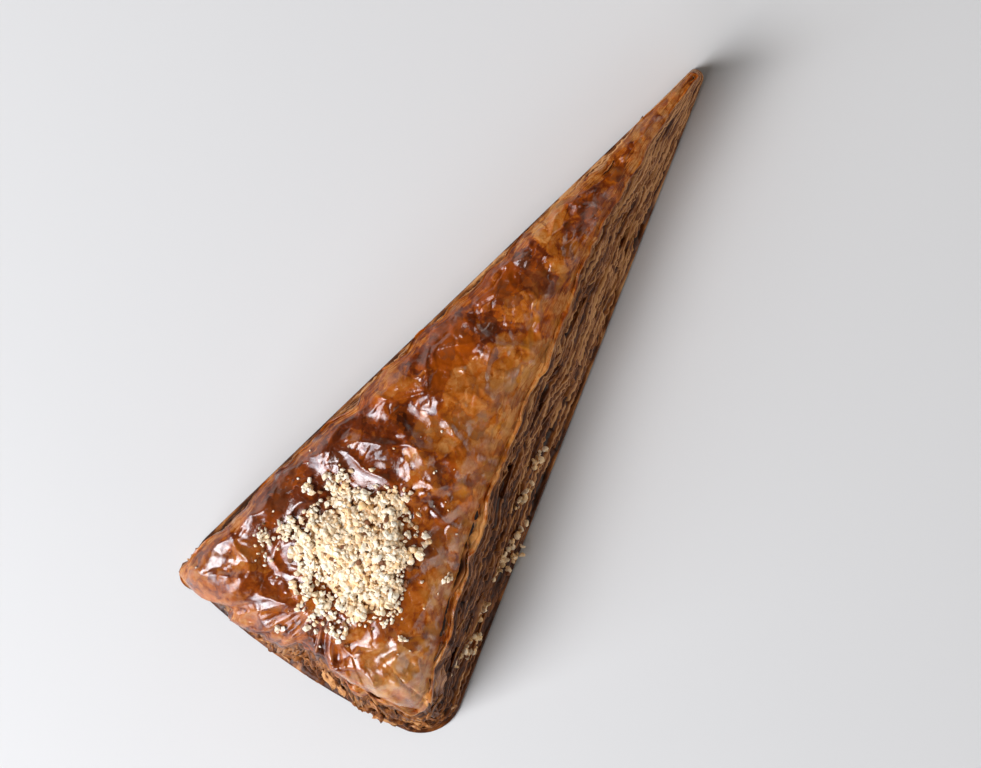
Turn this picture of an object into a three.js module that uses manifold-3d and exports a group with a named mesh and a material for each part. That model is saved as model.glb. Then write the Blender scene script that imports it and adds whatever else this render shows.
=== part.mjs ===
// One wedge of a round chocolate baklava: a long slice of laminated pastry under a puffed, wrinkled top,
// with chopped nuts heaped near its wide end and a few caught on its leaning side.
// Millimetres. +X points to the narrow tip, +Z up, and the slice rests on z = 0.
import * as THREE from 'three';
import { mergeVertices } from 'three/addons/utils/BufferGeometryUtils.js';
import Module from 'manifold-3d';

const wasm = await Module();
wasm.setup();

// The slice is a sector of a round bake, cut from its centre to its rim.
const bakeRadius = 160;
const halfAngle = THREE.MathUtils.degToRad(12.5);
const tipRadius = 2;
const cornerRadius = 9;
const tipDistance = tipRadius / Math.sin(halfAngle);
const sliceLength = bakeRadius - (tipDistance - tipRadius);
const bakeCentreX = bakeRadius - sliceLength / 2;

// The top is a low dome whose edges drop to the sides.
const crownHeight = 38;
const leaningDrop = 6.5;
const leaningRound = 13;
const uprightDrop = 5;
const uprightRound = 7;
const endDrop = 11;
const endRound = 16;
const tipSlope = 0.045;
const flatCrownLength = 95;

// The underside is flat inside a softly broken lower edge.
const footInset = 1.2;
const footRise = 0.5;
const footBow = 0.3;

// How far the top edge stands inside the base outline on each side.
const leaningInset = 10.8;
const leaningShare = 1.1;
const leaningReturn = 0.32;
const returnStart = 105;
const returnEnd = 152;
const uprightInset = 0.8;
const endInset = 9.5;
const endFill = 4.5;
const fillStart = -0.2 * halfAngle;
const fillEnd = 0.7 * halfAngle;
const tipInset = 0.9;
const cornerEase = 6;
const sideWave = 1.6;
const endWave = 3;
const waveStart = 0.35;
const clearWidth = 18;
const leanPower = 1.15;
const uprightHollow = 2.4;
const spineGap = 1.2;

// The layers show as ridges and grooves round the sides.
const ridgeCount = 11;
const grooveDepth = 1.7;
const endGrooveDepth = 2.6;
const cragDepth = 1.7;
const ridgeWear = 0.7;
const wallWander = 0.9;
const layerSway = 0.8;
const sideShift = 0.15;

// Wrinkles of the top sheets.
const wrinkleHeight = 0.5;
const creaseHeight = 1.1;
const creaseX = -16;
const creaseY = 7;
const creaseReach = 11;
const creaseWidth = 1.9;
const creaseLean = 0.35;
const creaseBend = 0.02;
const swellHeight = 2;
const swellX = -20;
const swellY = 6;
const swellLength = 4.4;
const swellReach = 7.5;
const tearX = 10;
const tearY = 9;
const tearReach = 9;
const tearDepth = 0.55;
const tearLip = 1;
const tearRunOut = 16;
const fadeAtEdge = 5;

// The heap of chopped nuts.
const heapX = -41;
const heapY = 3.2;
const heapLength = 12.4;
const heapWidth = 12.8;
const heapHeight = 2.8;
const heapGrains = 66;
const strayGrains = 12;
const strayStart = 1.12;
const strayReach = 0.36;
const wallGrains = 10;
const wallGrainSpacing = 1.25;
const wallGrainRidges = 4;
const grainSize = 2.1;
const grainLift = 0.25;
const grainFlatness = 0.72;
const goldenAngle = Math.PI * (3 - Math.sqrt(5));

// How finely the faces are divided.
const sideColumns = 35;
const tipColumns = 4;
const cornerColumns = 6;
const endColumns = 17;
const topRows = 11;
const weldDistance = 1e-4;

const clamp = THREE.MathUtils.clamp;
const smoothstep = THREE.MathUtils.smoothstep;

// A number from 0 to 1 that looks random but is the same for the same index and use.
function scatter(index, use) {
  const wave = Math.sin(index * 127.1 + use * 311.7) * 43758.5453;
  return wave - Math.floor(wave);
}

// Distance from the bake's centre, and the angle from the slice's middle line, positive to +Y.
function fromCentre(x, y) {
  return {
    radius: Math.hypot(bakeCentreX - x, y),
    angle: Math.atan2(y, bakeCentreX - x),
  };
}

// The leaning side leans most along its middle and stands steeper again toward the outer end.
function leaningInsetAt(radius) {
  const halfWidth = radius * Math.sin(halfAngle);
  const back = 1 - leaningReturn * smoothstep(radius, returnStart, returnEnd);
  return leaningInset * back * Math.tanh((leaningShare * halfWidth) / leaningInset);
}

// The outer end slopes most by the leaning side and stands fuller by the upright side.
function endInsetAt(angle) {
  return endInset - endFill * smoothstep(angle, fillStart, fillEnd);
}

// Two slow sums of sines: one for the wrinkles of the top, one for the broken outer end.
function wrinkles(x, y) {
  const bend = 1.4 * Math.sin(0.11 * y + 0.6) + 0.9 * Math.sin(0.07 * x + 2.1);
  return (
    Math.sin(0.31 * x + 0.14 * y + bend) +
    0.8 * Math.sin(0.19 * x - 0.33 * y + 1.7 * bend + 1.1) +
    0.6 * Math.sin(0.52 * x + 0.27 * y - bend + 3.9) +
    0.45 * Math.sin(0.24 * x + 0.81 * y + 2 * bend)
  );
}

function crags(angle, height) {
  const across = angle * bakeRadius;
  return (
    0.5 +
    0.3 * Math.sin(0.22 * across + 0.21 * height + 0.8) +
    0.25 * Math.sin(0.5 * across - 0.33 * height + 2.6) +
    0.2 * Math.sin(0.85 * across + 0.5 * height)
  );
}

// A soft bump that fades as a bell curve along x and across y.
function bell(x, y, width, reach) {
  return Math.exp(-((x / width) ** 2)) * Math.exp(-((y / reach) ** 2));
}

// The top's height over any point: a crown that drops to each side, wrinkles, a crease, a swell and a tear.
function topHeight(x, y) {
  const { radius, angle } = fromCentre(x, y);
  const toLeaning = radius * Math.sin(halfAngle + angle) - leaningInsetAt(radius);
  const toUpright = radius * Math.sin(halfAngle - angle) - uprightInset;
  const toEnd = bakeRadius - endInsetAt(angle) - radius;
  const nearLeaning = 1 - clamp(toLeaning / leaningRound, 0, 1);
  const nearUpright = 1 - clamp(toUpright / uprightRound, 0, 1);
  const nearEnd = 1 - clamp(toEnd / endRound, 0, 1);
  const crown = crownHeight - tipSlope * Math.max(0, flatCrownLength - radius);
  const dome =
    crown -
    leaningDrop * nearLeaning ** 2 -
    uprightDrop * (1 - Math.sqrt(1 - nearUpright ** 2)) -
    endDrop * (1 - Math.sqrt(1 - nearEnd ** 2));
  const inside = smoothstep(Math.min(toLeaning, toUpright, toEnd), 0, fadeAtEdge);
  const creaseLine = creaseX + creaseLean * (y - creaseY) - creaseBend * (y - creaseY) ** 2;
  const crease = creaseHeight * bell(x - creaseLine, y - creaseY, creaseWidth, creaseReach);
  const swell = swellHeight * bell(x - swellX, y - swellY, swellLength, swellReach);
  const tear =
    tearDepth *
    smoothstep(x, tearX - tearLip, tearX + tearLip) *
    (1 - smoothstep(x, tearX + 2 * tearLip, tearX + tearRunOut)) *
    Math.exp(-(((y - tearY) / tearReach) ** 2));
  return dome + inside * (wrinkleHeight * wrinkles(x, y) + crease + swell - tear);
}

// The heap's outline is an uneven oval.
function heapReach(turn) {
  return 1 + 0.13 * Math.sin(2 * turn + 0.4) + 0.1 * Math.sin(3 * turn + 2.2) + 0.06 * Math.sin(5 * turn);
}

// The nuts lie on a low mound of their own.
function moundHeight(x, y) {
  const across = (x - heapX) / heapLength;
  const aside = (y - heapY) / heapWidth;
  const out = Math.hypot(across, aside) / heapReach(Math.atan2(aside, across));
  return heapHeight * Math.max(0, 1 - out ** 2);
}

// The middle line, from below the heap to just inside the tip.
function spinePoint(step) {
  const outerReach = bakeRadius - endInset - endRound;
  const tipReach = tipDistance + spineGap;
  const reach = outerReach + ((tipReach - outerReach) * step) / (sideColumns - 1);
  const aside = (leaningInsetAt(reach) - uprightInset) / 2;
  return new THREE.Vector2(bakeCentreX - reach, aside);
}

// The base outline, counter-clockwise from the leaning side's outer end.
// Each column has its place, its outward normal and its partner on the middle line.
function outlineColumns() {
  const columns = [];
  const outerReach = Math.sqrt((bakeRadius - cornerRadius) ** 2 - cornerRadius ** 2);
  const tipReach = tipRadius / Math.tan(halfAngle);
  const cornerAngle = halfAngle - Math.asin(cornerRadius / (bakeRadius - cornerRadius));
  const addArc = (centreX, centreY, radius, from, to, count, spine) => {
    for (let k = 0; k < count; k += 1) {
      const turn = from + ((to - from) * (k + 0.5)) / count;
      const normal = new THREE.Vector2(Math.cos(turn), Math.sin(turn));
      const place = new THREE.Vector2(centreX, centreY).addScaledVector(normal, radius);
      columns.push({ place, normal, spine });
    }
  };
  const addSide = (sign) => {
    for (let k = 0; k < sideColumns; k += 1) {
      const step = sign < 0 ? k : sideColumns - 1 - k;
      const reach = outerReach + ((tipReach - outerReach) * step) / (sideColumns - 1);
      const place = new THREE.Vector2(
        bakeCentreX - reach * Math.cos(halfAngle),
        sign * reach * Math.sin(halfAngle),
      );
      const normal = new THREE.Vector2(Math.sin(halfAngle), sign * Math.cos(halfAngle));
      columns.push({ place, normal, spine: step });
    }
  };
  const cornerX = bakeCentreX - (bakeRadius - cornerRadius) * Math.cos(cornerAngle);
  const cornerY = (bakeRadius - cornerRadius) * Math.sin(cornerAngle);
  const square = Math.PI / 2 - halfAngle;
  addSide(-1);
  addArc(bakeCentreX - tipDistance, 0, tipRadius, -square, square, tipColumns, sideColumns - 1);
  addSide(1);
  addArc(cornerX, cornerY, cornerRadius, square, Math.PI - cornerAngle, cornerColumns, 0);
  addArc(bakeCentreX, 0, bakeRadius, Math.PI - cornerAngle, Math.PI + cornerAngle, endColumns, 0);
  addArc(cornerX, -cornerY, cornerRadius, Math.PI + cornerAngle, 2 * Math.PI - square, cornerColumns, 0);
  return columns;
}

// How much each of the four sides counts at a column, by the way its normal points.
function sideShares(normal) {
  const leaning = smoothstep(-normal.y, 0.35, 0.95);
  const upright = smoothstep(normal.y, 0.35, 0.95);
  const rest = 1 - leaning - upright;
  return {
    leaning,
    upright,
    end: normal.x < 0 ? rest : 0,
    tip: normal.x < 0 ? 0 : rest,
  };
}

// How far the cut edges wander: gently along the sides, more across the torn outer end.
function waveInset(column) {
  const { along, room, sides } = column;
  const across = column.angle * bakeRadius;
  const side =
    0.5 +
    0.24 * Math.sin(0.16 * along + 1) +
    0.16 * Math.sin(0.37 * along + 0.4) +
    0.1 * Math.sin(0.61 * along + 2.6);
  const end = 0.5 + 0.3 * Math.sin(0.21 * across + 2.2) + 0.2 * Math.sin(0.52 * across + 0.9);
  return room * (sideWave * side * (sides.leaning + sides.upright) + endWave * end * sides.end);
}

// Inset of a plain wall, without its layers, at a share of its height from 0 to 1.
function wallInset(column, share) {
  const { radius, angle, sides } = column;
  const slope = smoothstep(share, 0.1, 1.05);
  const lean = leaningInsetAt(radius) * share ** leanPower;
  const stand = uprightInset * (1 - uprightHollow * share * (1 - share));
  const plain =
    sides.leaning * lean +
    sides.upright * stand +
    sides.end * endInsetAt(angle) * slope +
    sides.end * (sides.leaning + sides.upright) * cornerEase * slope +
    sides.tip * tipInset * share;
  return plain + waveInset(column) * smoothstep(share, 0, waveStart);
}

// A point on the layered wall: row 0 is the lowest sheet, odd rows are grooves and even rows ridges.
function wallPoint(column, row) {
  const { along, room, sides } = column;
  const share = row / (2 * ridgeCount);
  const ripple = 0.62 + 0.38 * Math.sin(0.29 * along + 1.9 * row) * Math.sin(0.083 * along + 0.7 * row);
  const depth = grooveDepth + (endGrooveDepth - grooveDepth) * sides.end;
  const crag = cragDepth * sides.end * clamp(crags(column.angle, share * crownHeight), 0, 1.2);
  const wear = row % 2 === 1 ? depth : ridgeWear * (0.5 + 0.5 * Math.sin(2.3 * row + 0.11 * along));
  const wander = wallWander * (0.5 + 0.5 * Math.sin(0.075 * along + 2.4 * share + 0.5));
  const off = Math.sin(Math.PI * Math.min(share, 0.92));
  const cut = room * (ripple * wear + (crag + wander) * off);
  const inset = row === 0 ? 0 : wallInset(column, share) + cut;
  const place = column.place.clone().addScaledVector(column.inward, inset);
  const sway = layerSway * Math.sin(0.09 * along + 1.2) * Math.sin(Math.PI * share);
  const height = footRise + (column.edgeHeight - footRise) * share + sway;
  return new THREE.Vector3(place.x, place.y, height);
}

// A closed indexed body from places and triangles.
function bodyOf(places, triangles) {
  const geometry = new THREE.BufferGeometry();
  geometry.setAttribute('position', new THREE.Float32BufferAttribute(places, 3));
  geometry.setIndex(triangles);
  return geometry;
}

function toManifold(geometry) {
  const bare = geometry.clone();
  bare.deleteAttribute('normal');
  bare.deleteAttribute('uv');
  const merged = mergeVertices(bare, weldDistance);
  const vertProperties = Float32Array.from(merged.attributes.position.array);
  const triVerts = Uint32Array.from(merged.index.array);
  return new wasm.Manifold(new wasm.Mesh({ numProp: 3, vertProperties, triVerts }));
}

// The flat foot is a triangle whose corners lie in the middles of the tip and of the two outer corners.
// Its edges bow inward a little, so that the slice stands on its corners.
function footOutline(columns) {
  const count = columns.length;
  const tip = sideColumns + tipColumns / 2;
  const uprightCorner = 2 * sideColumns + tipColumns + cornerColumns / 2;
  const leaningCorner = count - cornerColumns / 2;
  const columnAt = (k) => columns[k % count];
  const cornerAt = (k) => columnAt(k).place.clone().addScaledVector(columnAt(k).inward, footInset);
  const places = [];
  const addEdge = (from, to) => {
    const start = cornerAt(from);
    const span = cornerAt(to).sub(start);
    const bow = new THREE.Vector2(-span.y, span.x).setLength(footBow);
    const runs = [0];
    for (let k = from; k < to; k += 1) {
      runs.push(runs[k - from] + columnAt(k).place.distanceTo(columnAt(k + 1).place));
    }
    for (let k = from; k < to; k += 1) {
      const share = runs[k - from] / runs[to - from];
      const point = start.clone().addScaledVector(span, share);
      places[k % count] = point.addScaledVector(bow, Math.sin(Math.PI * share));
    }
  };
  addEdge(tip, uprightCorner);
  addEdge(uprightCorner, leaningCorner);
  addEdge(leaningCorner, count + tip);
  return places;
}

// The pastry: the foot, layered walls, then the top in rings that close on the middle line.
function pastryBody() {
  const columns = outlineColumns();
  const wallRows = 2 * ridgeCount;
  const places = [];
  const triangles = [];
  for (const column of columns) {
    const { radius, angle } = fromCentre(column.place.x, column.place.y);
    column.radius = radius;
    column.angle = angle;
    column.along = radius * (1 + sideShift * Math.sign(angle));
    column.room = Math.min(1, (2 * radius * Math.sin(halfAngle)) / clearWidth);
    column.sides = sideShares(column.normal);
    column.inward = spinePoint(column.spine).sub(column.place).normalize();
    column.edge = column.place.clone().addScaledVector(column.inward, wallInset(column, 1));
    column.edgeHeight = topHeight(column.edge.x, column.edge.y);
  }
  const foot = footOutline(columns);
  for (const point of foot) {
    places.push(point.x, point.y, 0);
  }
  for (let row = 0; row < wallRows; row += 1) {
    for (const column of columns) {
      places.push(...wallPoint(column, row).toArray());
    }
  }
  for (let row = 0; row < topRows; row += 1) {
    const inward = 1 - Math.cos((row / topRows) * Math.PI * 0.5);
    for (const column of columns) {
      const point = column.edge.clone().lerp(spinePoint(column.spine), inward);
      places.push(point.x, point.y, topHeight(point.x, point.y) + moundHeight(point.x, point.y));
    }
  }
  const spineStart = places.length / 3;
  for (let step = 0; step < sideColumns; step += 1) {
    const point = spinePoint(step);
    places.push(point.x, point.y, topHeight(point.x, point.y) + moundHeight(point.x, point.y));
  }
  const rows = 1 + wallRows + topRows;
  const vertex = (row, k) => {
    const column = k % columns.length;
    return row === rows ? spineStart + columns[column].spine : row * columns.length + column;
  };
  const addTriangle = (a, b, c) => {
    if (a !== b && b !== c && c !== a) {
      triangles.push(a, b, c);
    }
  };
  for (let row = 0; row < rows; row += 1) {
    for (let k = 0; k < columns.length; k += 1) {
      addTriangle(vertex(row, k), vertex(row, k + 1), vertex(row + 1, k + 1));
      addTriangle(vertex(row, k), vertex(row + 1, k + 1), vertex(row + 1, k));
    }
  }
  for (const [a, b, c] of THREE.ShapeUtils.triangulateShape(foot, [])) {
    addTriangle(a, c, b);
  }
  return { body: toManifold(bodyOf(places, triangles)), columns };
}

// One piece of chopped nut: a small lump with uneven corners.
function grainBody(index, centre, size) {
  const lump = new THREE.IcosahedronGeometry(1, 0);
  lump.deleteAttribute('normal');
  lump.deleteAttribute('uv');
  const grain = mergeVertices(lump, weldDistance);
  const corners = grain.attributes.position;
  for (let k = 0; k < corners.count; k += 1) {
    const swell = 0.78 + 0.44 * scatter(index * 13 + k, 5);
    corners.setXYZ(k, corners.getX(k) * swell, corners.getY(k) * swell, corners.getZ(k) * swell);
  }
  const turn = new THREE.Euler(
    scatter(index, 6) * Math.PI * 2,
    scatter(index, 7) * Math.PI * 2,
    scatter(index, 8) * Math.PI * 2,
  );
  grain.scale(size, size * (0.75 + 0.2 * scatter(index, 9)), size * grainFlatness);
  grain.applyMatrix4(new THREE.Matrix4().makeRotationFromEuler(turn));
  grain.translate(centre.x, centre.y, centre.z);
  return toManifold(grain);
}

// Nuts of the heap follow a sunflower spiral, strays lie round it, and some sit on the leaning wall.
function nutGrains(columns) {
  const grains = [];
  const onTop = (index, x, y, size) => {
    const centre = new THREE.Vector3(x, y, topHeight(x, y) + moundHeight(x, y) + grainLift * size);
    grains.push(grainBody(index, centre, size));
  };
  for (let k = 0; k < heapGrains; k += 1) {
    const turn = k * goldenAngle + 0.5 * scatter(k, 2);
    const out = Math.sqrt((k + 0.5) / heapGrains) * (0.94 + 0.1 * scatter(k, 1)) * heapReach(turn);
    const size = grainSize * (0.82 + 0.36 * scatter(k, 3));
    onTop(k, heapX + heapLength * out * Math.cos(turn), heapY + heapWidth * out * Math.sin(turn), size);
  }
  for (let k = 0; k < strayGrains; k += 1) {
    const index = heapGrains + k;
    const turn = k * goldenAngle + 1.9;
    const out = (strayStart + strayReach * scatter(index, 1)) * heapReach(turn);
    const size = grainSize * (0.6 + 0.3 * scatter(index, 3));
    onTop(index, heapX + heapLength * out * Math.cos(turn), heapY + heapWidth * out * Math.sin(turn), size);
  }
  for (let k = 0; k < wallGrains; k += 1) {
    const index = heapGrains + strayGrains + k;
    const column = columns[1 + Math.floor((k + scatter(index, 1)) * wallGrainSpacing)];
    const row = 2 + 2 * Math.floor(wallGrainRidges * scatter(index, 2));
    grains.push(grainBody(index, wallPoint(column, row), grainSize * (0.7 + 0.35 * scatter(index, 3))));
  }
  return grains;
}

// Fusing can seal a tiny hollow or leave a scrap that touches nothing: only the largest shell is kept.
function largestShell(mesh) {
  const count = mesh.vertProperties.length / mesh.numProp;
  const parent = Array.from({ length: count }, (_, k) => k);
  const find = (start) => {
    let k = start;
    while (parent[k] !== k) {
      parent[k] = parent[parent[k]];
      k = parent[k];
    }
    return k;
  };
  const triangles = mesh.triVerts;
  for (let k = 0; k < triangles.length; k += 3) {
    parent[find(triangles[k])] = find(triangles[k + 1]);
    parent[find(triangles[k + 1])] = find(triangles[k + 2]);
  }
  const sizes = new Map();
  for (let k = 0; k < triangles.length; k += 3) {
    const shell = find(triangles[k]);
    sizes.set(shell, (sizes.get(shell) ?? 0) + 1);
  }
  const largest = [...sizes.entries()].sort((a, b) => b[1] - a[1])[0][0];
  const kept = [];
  for (let k = 0; k < triangles.length; k += 3) {
    if (find(triangles[k]) === largest) {
      kept.push(triangles[k], triangles[k + 1], triangles[k + 2]);
    }
  }
  return kept;
}

function wedgeGeometry() {
  const { body, columns } = pastryBody();
  const grains = nutGrains(columns);
  const fused = grains.reduce((whole, grain) => whole.add(grain), body);
  const mesh = fused.getMesh();
  const geometry = new THREE.BufferGeometry();
  geometry.setAttribute('position', new THREE.BufferAttribute(Float32Array.from(mesh.vertProperties), 3));
  geometry.setIndex(largestShell(mesh));
  geometry.computeVertexNormals();
  return geometry;
}

const pastryLook = new THREE.MeshStandardMaterial({ color: 0x7a3f1d, roughness: 0.35 });
const wedge = new THREE.Mesh(wedgeGeometry(), pastryLook);
wedge.name = 'baklava_wedge';

const group = new THREE.Group();
group.name = 'baklava_piece';
group.add(wedge);

export default group;
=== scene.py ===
"""A wedge of chocolate baklava, dressed for the render.

Lengths are millimetres in the part's own frame until a mesh is made, then metres.

Outline: a sector of the round bake, with arcs at its tip, its two outer corners and its outer end. Each of its
columns knows its outward normal and how much it belongs to the leaning side, the upright side, the end and the tip.
Top: a crown that drops to each side by a rounded share of the distance to that side, plus sums of sines for slow
wrinkles, ridged noise for blisters and Gaussian ridges along short lines for folds.
Walls: rings of the outline moved inward by a lean, by bundles of sheets (a squared sine of the height), and by each
sheet's own ragged edge (noise along the side, hashed by the sheet's number).
Nuts: crumbs are lumps round the places of a sunflower spiral, the same places as the solid's grains.
"""

import bpy
import numpy as np
from mathutils import Matrix, Vector


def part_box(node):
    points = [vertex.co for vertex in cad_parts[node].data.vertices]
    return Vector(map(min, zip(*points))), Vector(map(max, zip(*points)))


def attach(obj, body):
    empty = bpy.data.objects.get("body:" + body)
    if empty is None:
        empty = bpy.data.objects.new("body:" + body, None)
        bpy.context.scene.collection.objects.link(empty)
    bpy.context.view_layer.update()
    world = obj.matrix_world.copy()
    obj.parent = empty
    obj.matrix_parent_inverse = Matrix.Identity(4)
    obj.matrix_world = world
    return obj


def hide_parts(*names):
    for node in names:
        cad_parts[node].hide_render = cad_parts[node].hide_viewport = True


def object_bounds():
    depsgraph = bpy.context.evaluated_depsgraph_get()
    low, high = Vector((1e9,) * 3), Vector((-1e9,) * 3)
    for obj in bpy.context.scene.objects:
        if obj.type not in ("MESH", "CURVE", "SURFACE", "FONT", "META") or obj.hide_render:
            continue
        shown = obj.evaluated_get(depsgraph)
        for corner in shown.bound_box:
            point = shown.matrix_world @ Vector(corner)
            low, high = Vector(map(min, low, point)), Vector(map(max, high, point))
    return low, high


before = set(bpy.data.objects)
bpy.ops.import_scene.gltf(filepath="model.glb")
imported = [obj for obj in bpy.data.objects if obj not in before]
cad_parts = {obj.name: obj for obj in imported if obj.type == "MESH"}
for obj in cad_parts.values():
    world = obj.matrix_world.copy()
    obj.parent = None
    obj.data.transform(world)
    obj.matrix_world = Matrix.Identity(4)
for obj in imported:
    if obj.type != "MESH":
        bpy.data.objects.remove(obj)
start_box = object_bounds()

NODE = "baklava_wedge"
MM = 0.001

# Sizes that the solid has too, in millimetres.
BAKE_RADIUS = 160.0
HALF_ANGLE = np.radians(12.5)
TIP_RADIUS = 2.0
CORNER_RADIUS = 9.0
TIP_DISTANCE = TIP_RADIUS / np.sin(HALF_ANGLE)
SLICE_LENGTH = BAKE_RADIUS - (TIP_DISTANCE - TIP_RADIUS)
BAKE_CENTRE_X = BAKE_RADIUS - SLICE_LENGTH / 2
CROWN_HEIGHT = 38.0
LEANING_DROP = 6.5
LEANING_ROUND = 13.0
UPRIGHT_DROP = 5.0
UPRIGHT_ROUND = 7.0
END_DROP = 11.0
END_ROUND = 16.0
TIP_SLOPE = 0.045
FLAT_CROWN_LENGTH = 95.0
FOOT_INSET = 1.2
FOOT_RISE = 0.5
FOOT_BOW = 0.3
LEANING_INSET = 10.8
LEANING_SHARE = 1.1
LEANING_RETURN = 0.32
RETURN_START = 105.0
RETURN_END = 152.0
UPRIGHT_INSET = 0.8
END_INSET = 9.5
END_FILL = 4.5
TIP_INSET = 0.9
CORNER_EASE = 1.5
SIDE_WAVE = 1.6
END_WAVE = 3.0
CLEAR_WIDTH = 18.0
BUNDLES = 11
GROOVE_DEPTH = 1.7
END_GROOVE_DEPTH = 2.6
CRAG_DEPTH = 2.4
RIDGE_WEAR = 0.7
WALL_WANDER = 0.9
LAYER_SWAY = 0.8
WRINKLE_HEIGHT = 0.5
CREASE_HEIGHT = 1.1
CREASE_X = -16.0
CREASE_Y = 7.0
CREASE_REACH = 11.0
CREASE_WIDTH = 1.9
SWELL_HEIGHT = 2.0
SWELL_X = -20.0
SWELL_Y = 6.0
SWELL_LENGTH = 4.4
SWELL_REACH = 7.5
TEAR_X = 10.0
TEAR_Y = 9.0
TEAR_REACH = 9.0
TEAR_DEPTH = 0.55
FADE_AT_EDGE = 2.5
HEAP_X = -41.0
HEAP_Y = 3.2
HEAP_LENGTH = 12.4
HEAP_WIDTH = 12.8
HEAP_HEIGHT = 2.8
HEAP_GRAINS = 66
STRAY_GRAINS = 12
WALL_GRAINS = 10
GRAIN_SIZE = 2.1
GOLDEN_ANGLE = np.pi * (3 - np.sqrt(5))

# How finely the scene divides the same faces.
SIDE_COLUMNS = 380
TIP_COLUMNS = 12
CORNER_COLUMNS = 30
END_COLUMNS = 109
TOP_RINGS = 84

# The sheets of the walls.
SHEETS = 46
SHEET_PROFILE = ((0.0, 1.0), (0.2, 0.3), (0.5, 0.0), (0.8, 0.25))
SHEET_GROOVE = 0.55
LEAST_INSET = 0.12
SHEET_STEP = 0.75
SHEET_RAG = 0.3
SHEET_CHIP = 0.9
END_CRUMPLE = 1.5

draw = np.random.default_rng(11)


# ---------------------------------------------------------------- fields


def smooth(value, low, high):
    t = np.clip((value - low) / (high - low), 0, 1)
    return t * t * (3 - 2 * t)


def scatter(index, use):
    """A number from 0 to 1 that looks random but is the same for the same index and use."""
    wave = np.sin(index * 127.1 + use * 311.7) * 43758.5453
    return wave - np.floor(wave)


GRADIENTS = np.array(
    [(a, b, 0) for a in (-1, 1) for b in (-1, 1)]
    + [(a, 0, b) for a in (-1, 1) for b in (-1, 1)]
    + [(0, a, b) for a in (-1, 1) for b in (-1, 1)],
    float,
)


def noise(x, y, z, size, seed):
    """Gradient noise, about -1 to 1: hashed gradients at the corners of cubes of this size, blended smoothly."""
    p = np.stack(np.broadcast_arrays(x, y, z), -1) / size + 512.0
    cell = np.floor(p).astype(np.int64)
    f = p - cell
    w = f * f * f * (f * (f * 6 - 15) + 10)
    total = np.zeros(f.shape[:-1])
    for corner in range(8):
        step = np.array([corner & 1, corner >> 1 & 1, corner >> 2 & 1])
        at = cell + step
        mixed = (at[..., 0] * 73856093) ^ (at[..., 1] * 19349663) ^ (at[..., 2] * 83492791) ^ (seed * 961748927)
        mixed = (mixed ^ (mixed >> 13)) * 1274126177
        pick = ((mixed ^ (mixed >> 16)) & 0x7FFFFFFF) % 12
        lean = (GRADIENTS[pick] * (f - step)).sum(-1)
        weight = np.where(step == 1, w, 1 - w).prod(-1)
        total += lean * weight
    return total * 1.4


def from_centre(x, y):
    return np.hypot(BAKE_CENTRE_X - x, y), np.arctan2(y, BAKE_CENTRE_X - x)


def leaning_inset(radius):
    half_width = radius * np.sin(HALF_ANGLE)
    back = 1 - LEANING_RETURN * smooth(radius, RETURN_START, RETURN_END)
    return LEANING_INSET * back * np.tanh(LEANING_SHARE * half_width / LEANING_INSET)


def end_inset(angle):
    return END_INSET - END_FILL * smooth(angle, -0.2 * HALF_ANGLE, 0.7 * HALF_ANGLE)


def slow_wrinkles(x, y):
    bend = 1.4 * np.sin(0.11 * y + 0.6) + 0.9 * np.sin(0.07 * x + 2.1)
    return (
        np.sin(0.31 * x + 0.14 * y + bend)
        + 0.8 * np.sin(0.19 * x - 0.33 * y + 1.7 * bend + 1.1)
        + 0.6 * np.sin(0.52 * x + 0.27 * y - bend + 3.9)
        + 0.45 * np.sin(0.24 * x + 0.81 * y + 2 * bend)
    )


def crags(angle, height):
    across = angle * BAKE_RADIUS
    return (
        0.5
        + 0.3 * np.sin(0.22 * across + 0.21 * height + 0.8)
        + 0.25 * np.sin(0.5 * across - 0.33 * height + 2.6)
        + 0.2 * np.sin(0.85 * across + 0.5 * height)
    )


def edge_distances(x, y):
    """How far inside the top's edge a point is, from the leaning side, the upright side and the outer end."""
    radius, angle = from_centre(x, y)
    to_leaning = radius * np.sin(HALF_ANGLE + angle) - leaning_inset(radius)
    to_upright = radius * np.sin(HALF_ANGLE - angle) - UPRIGHT_INSET
    to_end = BAKE_RADIUS - end_inset(angle) - radius
    return to_leaning, to_upright, to_end


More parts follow.
